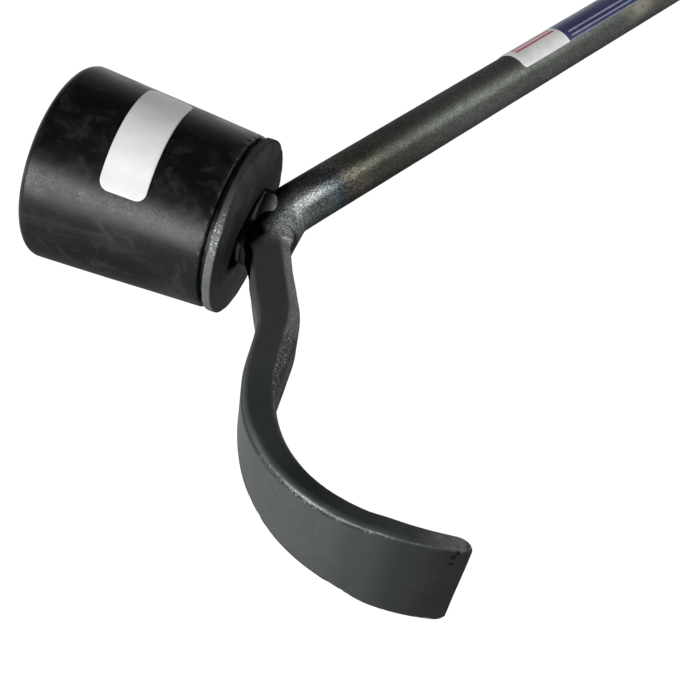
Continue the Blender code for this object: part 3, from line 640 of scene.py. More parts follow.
def make_bar():
    stations = bar_stations()
    end_run = stations[-1][0]
    bend_run = BEND_R * BEND_ANGLE
    facet = np.array(FACET_TO) - np.array(FACET_FROM)
    rows, runs, edge, shares, heights = [], [], [], [], []
    for run, x, y, heading in stations:
        past = run - bend_run
        outside, inside, half, outer_up, inner_up, down = (smooth_table(past, c) for c in range(1, 7))
        upper = lower = half
        to_end = end_run - run
        if to_end < EDGE_ROUND:
            k = 1.0 - to_end / EDGE_ROUND
            inside -= 0.86 * (outside + inside) * (1.0 - math.sqrt(max(0.0, 1.0 - k * k)))
        if to_end < NEAR_CORNER:
            k = 1.0 - to_end / NEAR_CORNER
            upper -= NEAR_CORNER * (1.0 - math.sqrt(max(0.0, 1.0 - k * k)))
        if to_end < FAR_RUN:
            k = 1.0 - to_end / FAR_RUN
            lower -= FAR_DROP * (1.0 - math.sqrt(max(0.0, 1.0 - k * k)))
        shift = 0.0
        if inside < 0.4 * MM:
            # the middle of the section moves out with it
            shift = 0.5 * (outside - inside) - outside
            outside = inside = 0.5 * (outside + inside)
        from_start = run - stations[0][0]
        if from_start < HANDLE_CHAMFER:
            trim = HANDLE_CHAMFER - from_start
            outside = inside = upper = lower = BAR_R - trim
        bevel = 1.0 - 0.17 * float(rise(past, 0.0, 15 * MM) * (1.0 - rise(past, 46 * MM, 62 * MM)))
        split = 1.0 - 0.14 * float(rise(past, 46 * MM, 56 * MM) * (1.0 - rise(past, 74 * MM, 84 * MM)))
        # the neck is rounder below, on its outer side
        tuck = float(rise(past, 8 * MM, 18 * MM) * (1.0 - rise(past, 32 * MM, 50 * MM)))
        lower -= 0.8 * MM * tuck
        corners = ((outer_up, split), (inner_up, bevel), (down, 1.0), (down + 2.2 * MM * tuck, 1.0))
        out_dir = np.array([math.sin(heading), -math.cos(heading)])
        # how far the facet stands out on the inside of the bend
        grown = inside
        if -8 * MM < run < bend_run + 3 * MM:
            m = -out_dir
            det = m[0] * -facet[1] + m[1] * facet[0]
            d = np.array(FACET_FROM) - np.array([x, y])
            reach = (d[0] * -facet[1] + d[1] * facet[0]) / det
            share = (m[0] * d[1] - m[1] * d[0]) / det
            if 0.0 <= share <= 1.0:
                grown = max(inside, reach)
        swell = math.exp(-1.2 * ((run - bend_run / 2) / (bend_run / 2 + 2.5 * MM)) ** 2)
        if run < -17 * MM:
            swell = 0.0
        row, near, part, tall = [], [], [], []
        for a, b, to_corner in rounded_outline(outside, inside, upper, lower, corners):
            share = a / (outside if a > 0 else inside)
            if a < 0:
                # only the innermost side; the bevel above it keeps its line
                a *= 1.0 + (grown / inside - 1.0) * float(rise(-share, 0.55, 0.98))
            else:
                a -= 0.06 * tuck * (upper - b) * share
            a -= shift
            tall.append(b / half)
            b *= 1.0 - BEND_SPREAD * swell * share
            row.append((x + a * out_dir[0], y + a * out_dir[1], b))
            near.append(to_corner)
            part.append(share)
        rows.append(row)
        edge.append(np.exp(-(np.array(near) / (0.40 * MM)) ** 2) * float(rise(past, 46 * MM, 66 * MM)))
        runs.append(run)
        shares.append(part)
        heights.append(tall)
    p = np.array(rows)
    edge, shares, heights = np.array(edge), np.array(shares), np.array(heights)
    past = np.array(runs)[:, None] * np.ones(RING)[None, :] - bend_run
    normal = -grid_normals(p)

    # hammered unevenness of the forged end
    forged = rise(past, -4 * MM, 18 * MM)
    blade = rise(past, 46 * MM, 66 * MM)
    broad = perlin(p, 13 * MM, 3.1)
    fine = perlin(p, 4.2 * MM, 7.7)
    lift = forged * (0.12 * MM * broad + 0.03 * MM * fine) + (1.0 - forged) * (0.02 * MM * broad + 0.01 * MM * fine)
    # broken edges of the claw, most along the outer edge that strikes things first
    rag = perlin(p, 3.4 * MM, 12.3) * 0.65 + perlin(p, 1.2 * MM, 5.9) * 0.35
    convex = rise(shares, 0.0, 0.6)
    middle = rise(past, 72 * MM, 84 * MM) * (1.0 - rise(past, 112 * MM, 124 * MM))
    lift -= edge * convex * (0.03 * MM + 0.15 * MM * rise(rag, 0.05, 0.55)) * (0.06 + 0.94 * middle)
    wear = edge * convex * (0.12 + 0.68 * middle) * rise(perlin(p, 6 * MM, 21.0), -0.35, 0.35)
    chips = rise(perlin(p, 2.0 * MM, 33.0), 0.15, 0.45)
    wear = np.maximum(wear, edge * convex * chips * rise(past, 122 * MM, 128 * MM) * (1.0 - rise(past, 137 * MM, 139 * MM)))
    wear = np.maximum(wear, 0.30 * blade * edge * rise(-shares, 0.2, 0.6) * (1.0 - rise(past, 128 * MM, 136 * MM)))
    p += normal * lift[:, :, None]

    # flat on the outside of the bend, where the disc is welded on
    q = take(HEAD, p)
    q[:, :, 2] = np.minimum(q[:, :, 2], -GAP)
    p = put(HEAD, q)
    # weld soot and painted shade, deepest between the two beads
    deep = rise(q[:, :, 0], -5 * MM, 0.0) + rise(q[:, :, 0], 3 * MM, 7 * MM)
    upper_face = rise(heights, 0.93, 0.985) * rise(past, -1 * MM, 5 * MM)
    soot_and_shade = (rise(q[:, :, 2] + 0.5 * MM * fine + 2.0 * MM * deep, -9.4 * MM, -2.6 * MM) * rise(q[:, :, 0], -17 * MM, -9 * MM)
            * (1.0 - rise(q[:, :, 0], 10.5 * MM, 14 * MM)) * (1.0 - 0.9 * upper_face * rise(q[:, :, 0], 3 * MM, 7 * MM)))
    # and a black margin on the neck, narrowing away from the joint: painted shade
    margin = np.maximum(0.62, 0.80 + 0.030 * (past / MM - 5.0)) + 0.03 * fine
    soft = 0.07 + 0.13 * (1.0 - rise(past, 0.0, 7 * MM))
    soot_and_shade = np.maximum(soot_and_shade, rise(shares, margin - soft, margin + soft) * rise(past, -8 * MM, -1 * MM)
                      * (1.0 - rise(past, 11 * MM, 14 * MM)))

    # the hammered upper face is smooth; the rolled bar, the bend and the bevel beside that face keep their grain
    outer_face = rise(shares, 0.3, 0.8) * rise(past, -2 * MM, 6 * MM)
    grain = (1.0 - 0.95 * blade) * (1.0 - 0.90 * upper_face) * (1.0 - 0.85 * outer_face)
    grain *= 1.0 - 0.48 * rise(p[:, :, 0], 30 * MM, 50 * MM)
    bevel = (rise(-shares, 0.08, 0.30) * rise(heights, 0.2, 0.5) * (1.0 - rise(heights, 0.985, 0.999))
             * (1.0 - rise(past, 58 * MM, 70 * MM)) * rise(past, -2 * MM, 6 * MM))
    fleck = bevel * rise(past, 22 * MM, 38 * MM)
    grain *= 1.0 - 0.5 * bevel
    # painted highlight around the bend
    bend_painted_highlight = (rise(past, -37 * MM, -28 * MM) * (1.0 - rise(past, -2 * MM, 8 * MM)) * (1.0 - upper_face)
             * (1.0 - rise(shares, 0.05, 0.50)) * (1.0 - rise(-shares, 0.58, 0.80) * (1.0 - rise(past, -28 * MM, -16 * MM))))
    # less of it half way round the bend
    bend_painted_highlight *= (1.0 - 0.9 * np.exp(-((past + 14 * MM) / (5.5 * MM)) ** 2)) * (0.60 + 0.40 * rise(past, -9 * MM, -3 * MM))
    # painted shade on the handle's underside near the bend
    under = rise(-shares, 0.58, 0.80) * (1.0 - rise(past, -23 * MM, -13 * MM))
    # painted shade on the side of the head
    shade = (rise(shares + 0.32 * (1.0 - rise(past, -34 * MM, -24 * MM)), -0.30, 0.14) * rise(past, -40 * MM, -28 * MM)
             * (1.0 - rise(past, -10 * MM, -3 * MM)))
    neck = upper_face * (1.0 - rise(past, 48 * MM, 66 * MM)) * (0.75 + 0.25 * rise(shares, 0.3, 0.9))
    # painted shade in the crease on the inside of the bend, under the neck
    crease_shade_and_dark_tip = (rise(past, -14 * MM, -6 * MM) * (1.0 - rise(past, 6 * MM, 12 * MM)) * rise(-shares, 0.5, 0.85)
           * (1.0 - rise(heights, 0.40, 0.70)))
    outer_blade = rise(past, 9 * MM, 16 * MM) * rise(shares, 0.70, 0.97)
    # the claw's upper side: darkest half way, with a painted highlight beside its outer edge
    on_side = blade * rise(heights, 0.85, 0.97) * (1.0 - rise(past, 118 * MM, 128 * MM))
    midway_dark = on_side * np.exp(-((past - 96 * MM) / (11 * MM)) ** 2) * (1.0 - rise(shares, 0.2, 0.6))
    claw_edge_painted_highlight = on_side * rise(shares + 0.12 * fine, 0.25, 0.65) * rise(past, 68 * MM, 78 * MM)
    # painted highlight on the claw's rounded end
    tip_painted_highlight = np.maximum(rise(heights, 0.85, 0.97) * rise(past, 124 * MM, 137 * MM),
                     rise(past, 136.2 * MM, 138.0 * MM)) * (1.0 - rise(shares + 0.10 * rag, 0.70, 0.97))
    # the outermost corner is painted darker
    darkened = rise(past, 138.0 * MM, 139.6 * MM) * rise(heights, 0.5, 0.85)
    tip_painted_highlight *= 1.0 - 0.95 * darkened
    crease_shade_and_dark_tip = np.maximum(crease_shade_and_dark_tip, 0.95 * darkened)
    # painted shade along the claw's outer arris
    arris = edge * rise(shares, 0.84, 0.93) * (1.0 - rise(past, 136 * MM, 139 * MM))
    pit = np.zeros_like(wear)
    for at, b, long, wide in ((137.0, 18.3, 0.5, 1.2), (136.3, 16.2, 0.6, 1.1), (136.4, 12.5, 0.6, 0.7)):
        pit = np.maximum(pit, convex * np.exp(-((past / MM - at) / long) ** 2 - ((p[:, :, 2] / MM - b) / wide) ** 2))
    pit = rise(pit, 0.22, 0.60)
    lift = -0.25 * MM * pit
    # small knocks and a tan patch on the handle
    tan_patch = np.zeros_like(wear)
    turn = np.arctan2(p[:, :, 2], p[:, :, 1]) / DEG
    for at, angle, long, wide in ((40.0, 78.0, 1.1, 4.0), (42.6, 80.0, 0.8, 3.0), (50.0, 77.0, 1.0, 3.5)):
        knock = (p[:, :, 1] ** 2 + p[:, :, 2] ** 2 > (7 * MM) ** 2) * np.exp(
            -((p[:, :, 0] / MM - at) / long) ** 2 - ((turn - angle) / wide) ** 2)
        wear = np.maximum(wear, knock)
        lift -= 0.10 * MM * knock
    tan_patch = np.exp(-((p[:, :, 0] / MM - 186.0) / 7.0) ** 2 - ((turn - 140.0) / 22.0) ** 2)
    p += normal * lift[:, :, None]

    flat = p.reshape(-1, 3)
    faces = grid_faces(len(rows), RING)
    faces.append(tuple(range(RING)))
    faces.append(tuple(reversed(range((len(rows) - 1) * RING, len(rows) * RING))))
    marks = {"wear": wear, "pit": pit, "grain": grain, "soot_and_shade": soot_and_shade, "fleck": fleck, "tan_patch": tan_patch, "bevel": bevel,
             "bend_painted_highlight": bend_painted_highlight, "neck": neck, "crease_shade_and_dark_tip": crease_shade_and_dark_tip, "blade": outer_blade, "tip_painted_highlight": tip_painted_highlight, "midway_dark": midway_dark, "claw_edge_painted_highlight": claw_edge_painted_highlight,
             "under": under, "shade": shade, "arris": arris, "along": np.clip(past / (141.0 * MM), 0.0, 1.0)}
    return piece("forged_bar", put(TOOL, flat), faces, STEEL, ["pry_bar"], flat, marks, sharp=50.0)


make_bar()

# ---- turned pieces -----------------------------------------------------------------
DISC_R, DISC_T = 28.4 * MM, 3.1 * MM
RUBBER_R_BACK, RUBBER_R_FACE, RUBBER_LEN = 28.2 * MM, 31.6 * MM, 59.6 * MM
BACK = DISC_T + GAP
FACE = BACK + RUBBER_LEN


def rubber_radius(height):
    return RUBBER_R_BACK + (RUBBER_R_FACE - RUBBER_R_BACK) * height / RUBBER_LEN


def fill_in(profile, step):
    """Add points along a (radius, height) outline so none are further apart than step."""
    out = []
    for (r0, z0), (r1, z1) in zip(profile, profile[1:]):
        count = max(1, math.ceil(math.hypot(r1 - r0, z1 - z0) / step))
        for k in range(count):
            out.append((r0 + (r1 - r0) * k / count, z0 + (z1 - z0) * k / count))
    out.append(profile[-1])
    return out


def spun(profile, sides):
    """Rings of points, one per profile point."""
    angle = 2 * np.pi * np.arange(sides) / sides
    r = np.array([p[0] for p in profile])[:, None]
    z = np.array([p[1] for p in profile])[:, None]
    return np.stack([r * np.cos(angle), r * np.sin(angle), z + 0.0 * angle], axis=2)


def make_disc():
    c = 0.45 * MM
    profile = [(0.6 * MM, 0.0), (DISC_R - c, 0.0)]
    profile += [(DISC_R - c + c * math.sin(t * DEG), c - c * math.cos(t * DEG)) for t in (22, 45, 68, 90)]
    profile += [(DISC_R, DISC_T - c)]
    profile += [(DISC_R - c + c * math.cos(t * DEG), DISC_T - c + c * math.sin(t * DEG)) for t in (22, 45, 68, 90)]
    profile += [(0.6 * MM, DISC_T)]
    profile = fill_in(profile, 0.45 * MM)
    sides = 240
    p = spun(profile, sides)
    r = np.hypot(p[:, :, 0], p[:, :, 1])
    z = p[:, :, 2]
    normal = grid_normals(p)
    if (normal[:, :, :2] * p[:, :, :2]).sum() < 0:
        normal = -normal
    rim = rise(r, DISC_R - 0.5 * MM, DISC_R - 0.05 * MM)
    arris = np.exp(-((r - DISC_R) / (0.5 * MM)) ** 2) * (np.exp(-(z / (0.45 * MM)) ** 2)
                                                        + np.exp(-((z - DISC_T) / (0.45 * MM)) ** 2))
    lift = -rim * 0.05 * MM * rise(perlin(p, 1.7 * MM, 4.0), -0.2, 0.6)
    lift -= arris * 0.14 * MM * rise(perlin(p, 2.6 * MM, 9.0), 0.0, 0.5)
    lift -= (1.0 - rim) * 0.02 * MM * (1.0 + perlin(p, 6 * MM, 2.0))
    # the punch has drawn the edge of the welded face down a little
    bar_side = 1.0 - rise(z, 0.2 * MM, 1.6 * MM)
    p = p + normal * lift[:, :, None]
    p[:, :, 2] += 0.38 * MM * bar_side * rise(r, 21 * MM, 31 * MM)
    flat = p.reshape(-1, 3)
    faces = grid_faces(len(profile), sides)
    faces.append(tuple(range(sides)))
    faces.append(tuple(reversed(range((len(profile) - 1) * sides, len(profile) * sides))))
    # weld soot and painted shade on the welded face around the joint
    around = np.hypot((p[:, :, 0] + 0.5 * MM) / 16.0, (p[:, :, 1] + 2.8 * MM) / 8.0) / MM + 0.08 * perlin(p, 4 * MM, 6.0)
    soot_and_shade = (1.0 - rise(around, 0.85, 1.15)) * (1.0 - rise(z, 0.1 * MM, 0.6 * MM))
    turn = np.arctan2(p[:, :, 1], p[:, :, 0]) / DEG
    # scale flakes on the edge, with a cluster of painted glints where the edge's highlight falls
    patchy = rise(perlin(p, 5 * MM, 31.0), -0.1, 0.4)
    flake_and_glint = rim * (0.12 * patchy + np.exp(-((turn - 37.0) / 13.0) ** 2))
    wear = arris * (0.05 + 0.12 * patchy + 0.22 * np.exp(-((turn - 95.0) / 22.0) ** 2))
    # the edge keeps its paler tone on one side only, painted light there; elsewhere its arrises are painted shade
    rim = rim * (0.15 + 0.85 * (1.0 - rise(np.abs(turn - 5.0), 36.0, 48.0)))
    darkened = np.clip(arris, 0.0, 1.0) * rise(np.abs(turn - 5.0), 36.0, 48.0)
    marks = {"edge": rim, "soot_and_shade": soot_and_shade, "wear": wear, "darkened": darkened, "flake_and_glint": np.clip(flake_and_glint, 0.0, 1.0)}
    return piece("weld_disc", put(TOOL, put(HEAD, flat)), faces, PLATE, ["backing_disc"], flat, marks)


make_disc()

BORE_R, RECESS_R, RECESS_DEPTH, RECESS_ROUND = 5.2 * MM, 13.5 * MM, 25.0 * MM, 1.0 * MM
RUBBER_RIM = 3.0 * MM


def make_rubber():
    # a groove is left next to the disc, and the rubber's edge rolls over above it
    groove, roll = 1.25 * MM, 0.80 * MM
    profile = [(BORE_R, BACK), (RUBBER_R_BACK - 2.6 * MM, BACK), (RUBBER_R_BACK - 2.5 * MM, BACK + groove)]
    profile += [(rubber_radius(groove) - roll * (1.0 - math.sin(t * DEG)), BACK + groove + roll * (1.0 - math.cos(t * DEG)))
                for t in (0, 25, 50, 75, 90)]
    profile += [(rubber_radius(5 * MM), BACK + 5 * MM)]
    rim = [(RUBBER_R_FACE - RUBBER_RIM * (1.0 - math.cos(t * DEG)), FACE - RUBBER_RIM * (1.0 - math.sin(t * DEG)))
           for t in range(0, 91, 9)]
    mouth = [(RECESS_R + RECESS_ROUND * (1.0 - math.sin(t * DEG)), FACE - RECESS_ROUND * (1.0 - math.cos(t * DEG)))
             for t in range(0, 91, 18)]
    fine = fill_in(profile, 0.4 * MM)
    long_side = fill_in([fine[-1], rim[0]], 0.9 * MM)
    rest = fill_in(rim + mouth + [(RECESS_R, FACE - RECESS_DEPTH), (BORE_R, FACE - RECESS_DEPTH), (BORE_R, BACK)],
                   0.9 * MM)
    profile = fine[:-1] + long_side[:-1] + rest[:-1]
    sides = 224
    p = spun(profile, sides)
    normal = grid_normals(p, True)
    r = np.hypot(p[:, :, 0], p[:, :, 1])
    z = p[:, :, 2]
    outer = rise(r, 24 * MM, 27.5 * MM)
    out = np.stack([p[:, :, 0] / r, p[:, :, 1] / r, 0.0 * r], axis=2)
    if ((normal * out).sum(axis=2) * outer).sum() < 0:
        normal = -normal
    # the edge next to the disc is torn and scuffed
    lip = outer * np.exp(-((z - BACK - 1.6 * MM) / (0.9 * MM)) ** 2)
    torn = rise(perlin(p, 2.4 * MM, 6.0) * 0.65 + perlin(p, 0.8 * MM, 14.0) * 0.35, 0.0, 0.5)
    lift = -lip * 0.45 * MM * torn
    # the moulding is not quite true
    lift -= outer * 0.10 * MM * (0.6 + 0.6 * perlin(p, 26 * MM, 8.0)) + outer * 0.02 * MM * perlin(p, 5 * MM, 17.0)
    # a mould line inside the striking rim
    seam = outer * np.exp(-((z - (FACE - 3.3 * MM)) / (0.30 * MM)) ** 2)
    lift -= seam * 0.10 * MM
    p = p + normal * lift[:, :, None]
    flat = p.reshape(-1, 3)
    patch = rise(perlin(p, 9 * MM, 41.0), 0.0, 0.5)
    angle = np.arctan2(p[:, :, 1], p[:, :, 0])
    scuff = np.clip(lip * (0.06 + 0.26 * torn), 0.0, 1.0)
    scuff = np.maximum(scuff, 0.60 * seam * patch)
    face_ring = rise(z, FACE - 0.5 * MM, FACE - 0.1 * MM) * rise(r, 15 * MM, 16 * MM)
    scuff = np.maximum(scuff, face_ring * (0.25 + 0.5 * patch))
    # a stripe along the side that the head rolls on, partly rubbed and partly painted sheen, with two barer patches
    turn = angle / DEG
    height = (z - BACK) / MM
    stripe = np.exp(-((turn - 36.0 - 3.0 * perlin(p, 15 * MM, 5.0)) / 6.5) ** 2)
    rubbed_and_sheen = 0.55 * stripe * (0.55 + 0.45 * rise(perlin(p, 11 * MM, 23.0), -0.3, 0.4))
    for at, high, wide, long, amount in ((34.0, 53.0, 7.0, 2.6, 0.75), (35.0, 40.0, 3.5, 2.4, 0.85), (-20.0, 9.0, 20.0, 6.0, 0.25)):
        rubbed_and_sheen = np.maximum(rubbed_and_sheen, amount * np.exp(-((turn - at) / wide) ** 2 - ((height - high) / long) ** 2))
    rubbed_and_sheen = outer * rubbed_and_sheen
    faces = grid_faces(len(profile), sides, True)
    return piece("mallet_rubber", put(TOOL, put(HEAD, flat)), faces, RUBBER, ["rubber_head"], flat,
                 {"scuff": scuff, "rubbed_and_sheen": rubbed_and_sheen}, sharp=45.0)


make_rubber()

# ---- weld beads --------------------------------------------------------------------
def make_weld(name, node, tip, leg, apex, span, depth, lean, size, leaf, waist, late, bare):
    """A fillet around one end of the joint: a swollen leaf along each side, joined by a run around the end.

    lean is how much nearer the disc a leaf ends than it starts, and late moves its widest place towards its end.
    bare holds how far either side of the middle the bead shows through the soot and painted shade, how much of them
    stays on it, and how far round towards the bar it is clean.
    """
    path = []
    for k in range(37):
        u = k / 36
        swell = leaf * math.sin(math.pi * (0.02 + 0.93 * u ** late)) ** 0.9
        path.append((tip + (leg - tip) * u, span, max(swell, waist * float(rise(u, 0.55, 1.0))), depth + lean * (0.5 - u)))
    near_leg = path[:]
    for k in range(1, 48):
        t = math.pi * k / 48
        path.append((leg + (apex - leg) * math.sin(t), span * math.cos(t), *near_leg[-1][2:]))
    path += [(x, -y, w, h) for x, y, w, h in reversed(near_leg)]
    line = np.array([row[:2] for row in path])
    heading = np.gradient(line, axis=0)
    heading /= np.linalg.norm(heading, axis=1, keepdims=True)
    side = 1.0 if apex < leg else -1.0
    stations, sides = len(path), 48
    rows, crest, soot_and_shade_extra = [], [], []
    for k, (x, y, swell, below) in enumerate(path):
        centre = np.array([x, y, -below])
        away = side * np.array([heading[k][1], -heading[k][0], 0.0])
        ring, high, dark = [], [], []
        for i in range(sides):
            phi = 2 * math.pi * i / sides
            # runs side by side, with faint arcs left by the puddle
            lag = 0.9 * (1.0 - math.cos(phi + math.pi * 0.75))
            ripple = 1.0 + 0.012 * math.sin(2 * math.pi * (k / stations * 11.0) + lag)
            runs = 0.085 * math.cos(7.0 * phi + 0.8)
            radius = size * swell * (ripple + runs)
            # always up to the disc on that side
            tall = 1.40 * radius if phi > math.pi else max(1.40 * radius, below + 0.3 * MM)
            ring.append(centre + away * 0.85 * radius * math.cos(phi) + np.array([0.0, 0.0, tall * math.sin(phi)]))
            high.append(min(1.0, max(0.0, 0.5 + 6.0 * runs)))
            # black towards the disc, but for a thin rim, as painted shade, and with soot where it runs out
            rim = 0.85 * math.exp(-((math.sin(phi) - 0.70) / 0.07) ** 2)
            dark.append(max(float(rise(math.sin(phi), 0.25, 0.50)) * (1.0 - rim),
                            float(rise(-math.cos(phi), bare[2], bare[2] + 0.4)),
                            1.0 - float(rise(swell, 0.16 * leaf, 0.34 * leaf))))
        rows.append(ring)
        crest.append(high)
        soot_and_shade_extra.append(dark)
    p = np.array(rows)
    middle = p.mean(axis=1, keepdims=True)
    p = middle + (p - middle) * (1.0 + 0.05 * perlin(p, 2.6 * MM, 3.0) + 0.02 * perlin(p, 0.9 * MM, 8.0))[:, :, None]
    p[:, :, 2] = np.minimum(p[:, :, 2], -0.02 * MM)
    soot_and_shade = np.maximum(np.array(soot_and_shade_extra), bare[1] + (1.0 - bare[1]) * rise(np.abs(p[:, :, 1]), 0.6 * bare[0], bare[0]))
    flat = p.reshape(-1, 3)
    faces = grid_faces(len(rows), sides)
    faces.append(tuple(range(sides)))
    faces.append(tuple(reversed(range((len(rows) - 1) * sides, len(rows) * sides))))
    return piece(name, put(TOOL, put(HEAD, flat)), faces, WELD, [node], flat,
                 {"crest": np.array(crest), "soot_and_shade": soot_and_shade}, sharp=60.0)


make_weld("fillet_weld_handle", "weld_bead_handle_side", 4.6 * MM, -10.2 * MM, -14.6 * MM, 7.0 * MM, 5.8 * MM, 3.8 * MM, 2.8 * MM,
          1.0, 0.15, 1.65, (30.0 * MM, 0.0, 2.0))
make_weld("fillet_weld_claw", "weld_bead_claw_side", 3.6 * MM, 8.2 * MM, 11.0 * MM, 5.6 * MM, 4.7 * MM, 0.0, 1.9 * MM,
          0.7, 0.64, 1.2, (4.8 * MM, 0.50, 0.0))

# ---- stud with a real thread; the nut and washers keep their solids -----------------
STUD_R, STUD_END = 4.75 * MM, 50.6 * MM
PITCH, DEPTH = 1.5 * MM, 0.75 * MM


def make_stud():
    top = BACK + STUD_END
    sides, per_turn = 48, 12
    low = top - 14 * MM
    rows = [[(STUD_R * math.cos(2 * math.pi * k / sides), STUD_R * math.sin(2 * math.pi * k / sides), BACK)
             for k in range(sides)]]
    z = low
    steps = int(14 * MM / PITCH * per_turn)
    for s in range(steps + 1):
        z = low + 14 * MM * s / steps
        ring = []
        for k in range(sides):
            t = ((z - low) / PITCH - k / sides) % 1.0
            tooth = 1.0 - abs(2.0 * t - 1.0)
            tooth = min(1.0, max(0.0, (tooth - 0.08) / 0.80))
            depth = DEPTH * (1.0 - tooth) * float(rise(z, low, low + 2 * MM))
            radius = STUD_R - depth
            radius = min(radius, STUD_R - max(0.0, z - (top - 1.0 * MM)) * 0.9)
            ring.append((radius * math.cos(2 * math.pi * k / sides), radius * math.sin(2 * math.pi * k / sides), z))
        rows.append(ring)
    flat = np.array(rows).reshape(-1, 3)
    faces = grid_faces(len(rows), sides)
    faces.append(tuple(range(sides)))
    faces.append(tuple(reversed(range((len(rows) - 1) * sides, len(rows) * sides))))
    return piece("threaded_stud", put(TOOL, put(HEAD, flat)), faces, ZINC, ["head_stud"], flat,
                 sharp=35.0)


make_stud()
for name in ("flat_washer", "lock_washer", "hex_nut"):
    node = frame["nodes"][name]
    node.data.materials.clear()
    node.data.materials.append(ZINC)

# ---- stickers ----------------------------------------------------------------------
LABEL_T, LABEL_GAP = 0.25 * MM, 0.15 * MM


def make_sticker(name, node, material, surface, matrix, angles, span, round_off, arc_radius, skew, count, wide):
    """A thin closed skin with rounded corners, its rim pressed down."""
    low, high = span
    top, under, uv, rim = [], [], [], []
    for k in range(count + 1):
        share = 0.5 - 0.5 * math.cos(math.pi * k / count)
        angle = angles[0] + (angles[1] - angles[0]) * share
        to_end = min(share, 1.0 - share) * (angles[1] - angles[0]) * arc_radius
        trim = 0.0
        if to_end < round_off:
            trim = round_off - math.sqrt(max(0.0, round_off ** 2 - (round_off - to_end) ** 2))
        shift = skew * (share - 0.5)
        a, b = low + trim + shift, high - trim + shift
        upper, lower = [], []
        for j in range(wide + 1):
            t = 0.5 - 0.5 * math.cos(math.pi * j / wide)
            at = a + (b - a) * t
            inset = min(t * (b - a), (1.0 - t) * (b - a), to_end)
            press = 0.10 * MM * math.exp(-(inset / (0.35 * MM)) ** 2)
            upper.append(surface(angle, at, LABEL_GAP + LABEL_T - press))
            lower.append(surface(angle, at, LABEL_GAP - 0.10 * MM))
            uv.append(((at - low) / (high - low), share))
            rim.append(math.exp(-(inset / (0.30 * MM)) ** 2))
        top.append(upper)
        under.append(lower)
    rows, cols = count + 1, wide + 1
    points = [p for row in top for p in row] + [p for row in under for p in row]
    shift = rows * cols
    faces = []
    for r in range(rows - 1):
        for c in range(cols - 1):
            i = r * cols + c
            faces.append((i, i + 1, i + cols + 1, i + cols))
            faces.append((shift + i, shift + i + cols, shift + i + cols + 1, shift + i + 1))
    border = [c for c in range(cols)] + [r * cols + cols - 1 for r in range(1, rows)]
    border += [(rows - 1) * cols + c for c in range(cols - 2, -1, -1)] + [r * cols for r in range(rows - 2, 0, -1)]
    for i, j in zip(border, border[1:] + border[:1]):
        faces.append((i, shift + i, shift + j, j))
    flat = np.array(points)
    return piece(name, put(TOOL, put(matrix, flat) if matrix is not None else flat), faces, material, [node], flat,
                 {"rim": rim + rim}, uv + uv, sharp=50.0)


def on_cone(angle, height, lift):
    radius = rubber_radius(height) + lift
    return (radius * math.cos(angle), radius * math.sin(angle), BACK + height)


def on_bar(angle, at, lift):
    return (at, (BAR_R + lift) * math.cos(angle), (BAR_R + lift) * math.sin(angle))


make_sticker("plain_sticker", "head_label", WHITE, on_cone, HEAD, (41.5 * DEG, 125.0 * DEG),
             (22.3 * MM, 36.9 * MM), 3.2 * MM, rubber_radius(29.6 * MM), 2.0 * MM, 60, 24)
make_sticker("panel_sticker", "handle_label", PRINT, on_bar, None, (-58.0 * DEG, 121.5 * DEG),
             (120.3 * MM, 202.3 * MM), 1.6 * MM, BAR_R, 0.0, 60, 60)

# ---- floor, light, camera ----------------------------------------------------------
def make_floor():
    net = Net("pale_floor")
    net.set(Base_Color=(0.11, 0.11, 0.11, 1.0), Roughness=0.9, Specular_IOR_Level=0.0,
            Emission_Color=(1.0, 1.0, 1.0, 1.0), Emission_Strength=0.98)
    mesh = bpy.data.meshes.new("pale_floor")
    size = 6.0
    mesh.from_pydata([(-size, -size, 0.0), (size, -size, 0.0), (size, size, 0.0), (-size, size, 0.0)], [], [(0, 1, 2, 3)])
    mesh.materials.append(net.material)
    obj = bpy.data.objects.new("pale_floor", mesh)
    bpy.context.scene.collection.objects.link(obj)
    # shiny pieces mirror the studio below the horizon, not the glowing sheet
    obj.visible_glossy = False


def soft_box(name, direction, distance, size, radiance, aim=(0.0, 0.0, 0.0)):
    """A rectangular light, placed in the tool's own frame and looking at the bend."""
    light = bpy.data.lights.new(name, 'AREA')
    light.shape = 'RECTANGLE'
    light.size, light.size_y = size
    light.energy = radiance * math.pi * size[0] * size[1]
    obj = bpy.data.objects.new(name, light)
    bpy.context.scene.collection.objects.link(obj)
    target = Vector(put(TOOL, [aim])[0])
    way = Vector(TOOL[:, :3] @ np.array(direction)).normalized()
    place = target + way * distance
    obj.matrix_world = Matrix.Translation(place) @ way.to_track_quat('Z', 'Y').to_matrix().to_4x4()
    obj.visible_camera = False
    return obj


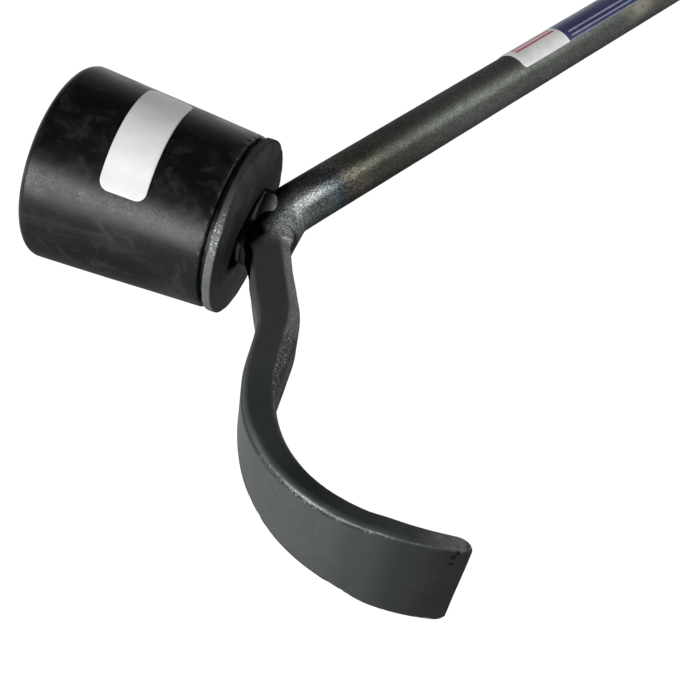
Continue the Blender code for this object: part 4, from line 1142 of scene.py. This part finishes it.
def make_world():
    world = bpy.data.worlds.new("studio")
    bpy.context.scene.world = world
    world.use_nodes = True
    tree = world.node_tree
    back = tree.nodes["Background"]
    coords = tree.nodes.new("ShaderNodeTexCoord")
    parts = tree.nodes.new("ShaderNodeSeparateXYZ")
    ramp = tree.nodes.new("ShaderNodeValToRGB")
    tree.links.new(coords.outputs["Generated"], parts.inputs["Vector"])
    # from straight down, through the horizon, to straight up
    height = tree.nodes.new("ShaderNodeMapRange")
    height.inputs["From Min"].default_value = -1.0
    tree.links.new(parts.outputs["Z"], height.inputs["Value"])
    tree.links.new(height.outputs["Result"], ramp.inputs["Fac"])
    elements = ramp.color_ramp.elements
    levels = ((0.0, 0.20), (0.075, 0.24), (0.15, 0.45), (0.25, 0.85), (0.40, 0.95), (0.50, 0.88), (0.60, 0.42), (0.71, 0.18),
              (0.82, 0.07))
    while len(elements) < len(levels):
        elements.new(0.5)
    for e, (at, level) in zip(elements, levels):
        e.position = at
        e.color = (level, 1.01 * level, 1.03 * level, 1.0)
    tree.links.new(ramp.outputs["Color"], back.inputs["Color"])
    back.inputs["Strength"].default_value = 1.0


def make_camera():
    data = bpy.data.cameras.new("camera")
    data.sensor_fit = 'HORIZONTAL'
    data.sensor_width = 36.0
    data.lens = 36.0 * 1250.0 / 700.0
    data.clip_start, data.clip_end = 0.01, 50.0
    obj = bpy.data.objects.new("camera", data)
    bpy.context.scene.collection.objects.link(obj)
    right = np.array([0.71909155, -0.68392439, 0.12310468])
    down = np.array([-0.49944221, -0.63181845, -0.59275874])
    ahead = np.array([0.48318197, 0.36476413, -0.79591602])
    place = -MM * (np.array([-28.60503, -37.36081, 387.92723]) @ np.array([right, down, ahead]))
    axes = TOOL[:, :3] @ np.column_stack([right, -down, -ahead])
    spot = put(TOOL, [place])[0]
    obj.matrix_world = Matrix([[*axes[i], spot[i]] for i in range(3)] + [[0.0, 0.0, 0.0, 1.0]])
    bpy.context.scene.camera = obj


make_floor()
make_world()
soft_box("key", (0.587, -0.49, 0.645), 0.5, (0.19, 0.19), 8.5)
soft_box("left_wall", (-0.95, -0.14, 0.275), 1.2, (1.6, 0.62), 10.0)
make_camera()
view = bpy.context.scene.view_settings
view.view_transform = 'Standard'
view.look = 'None'
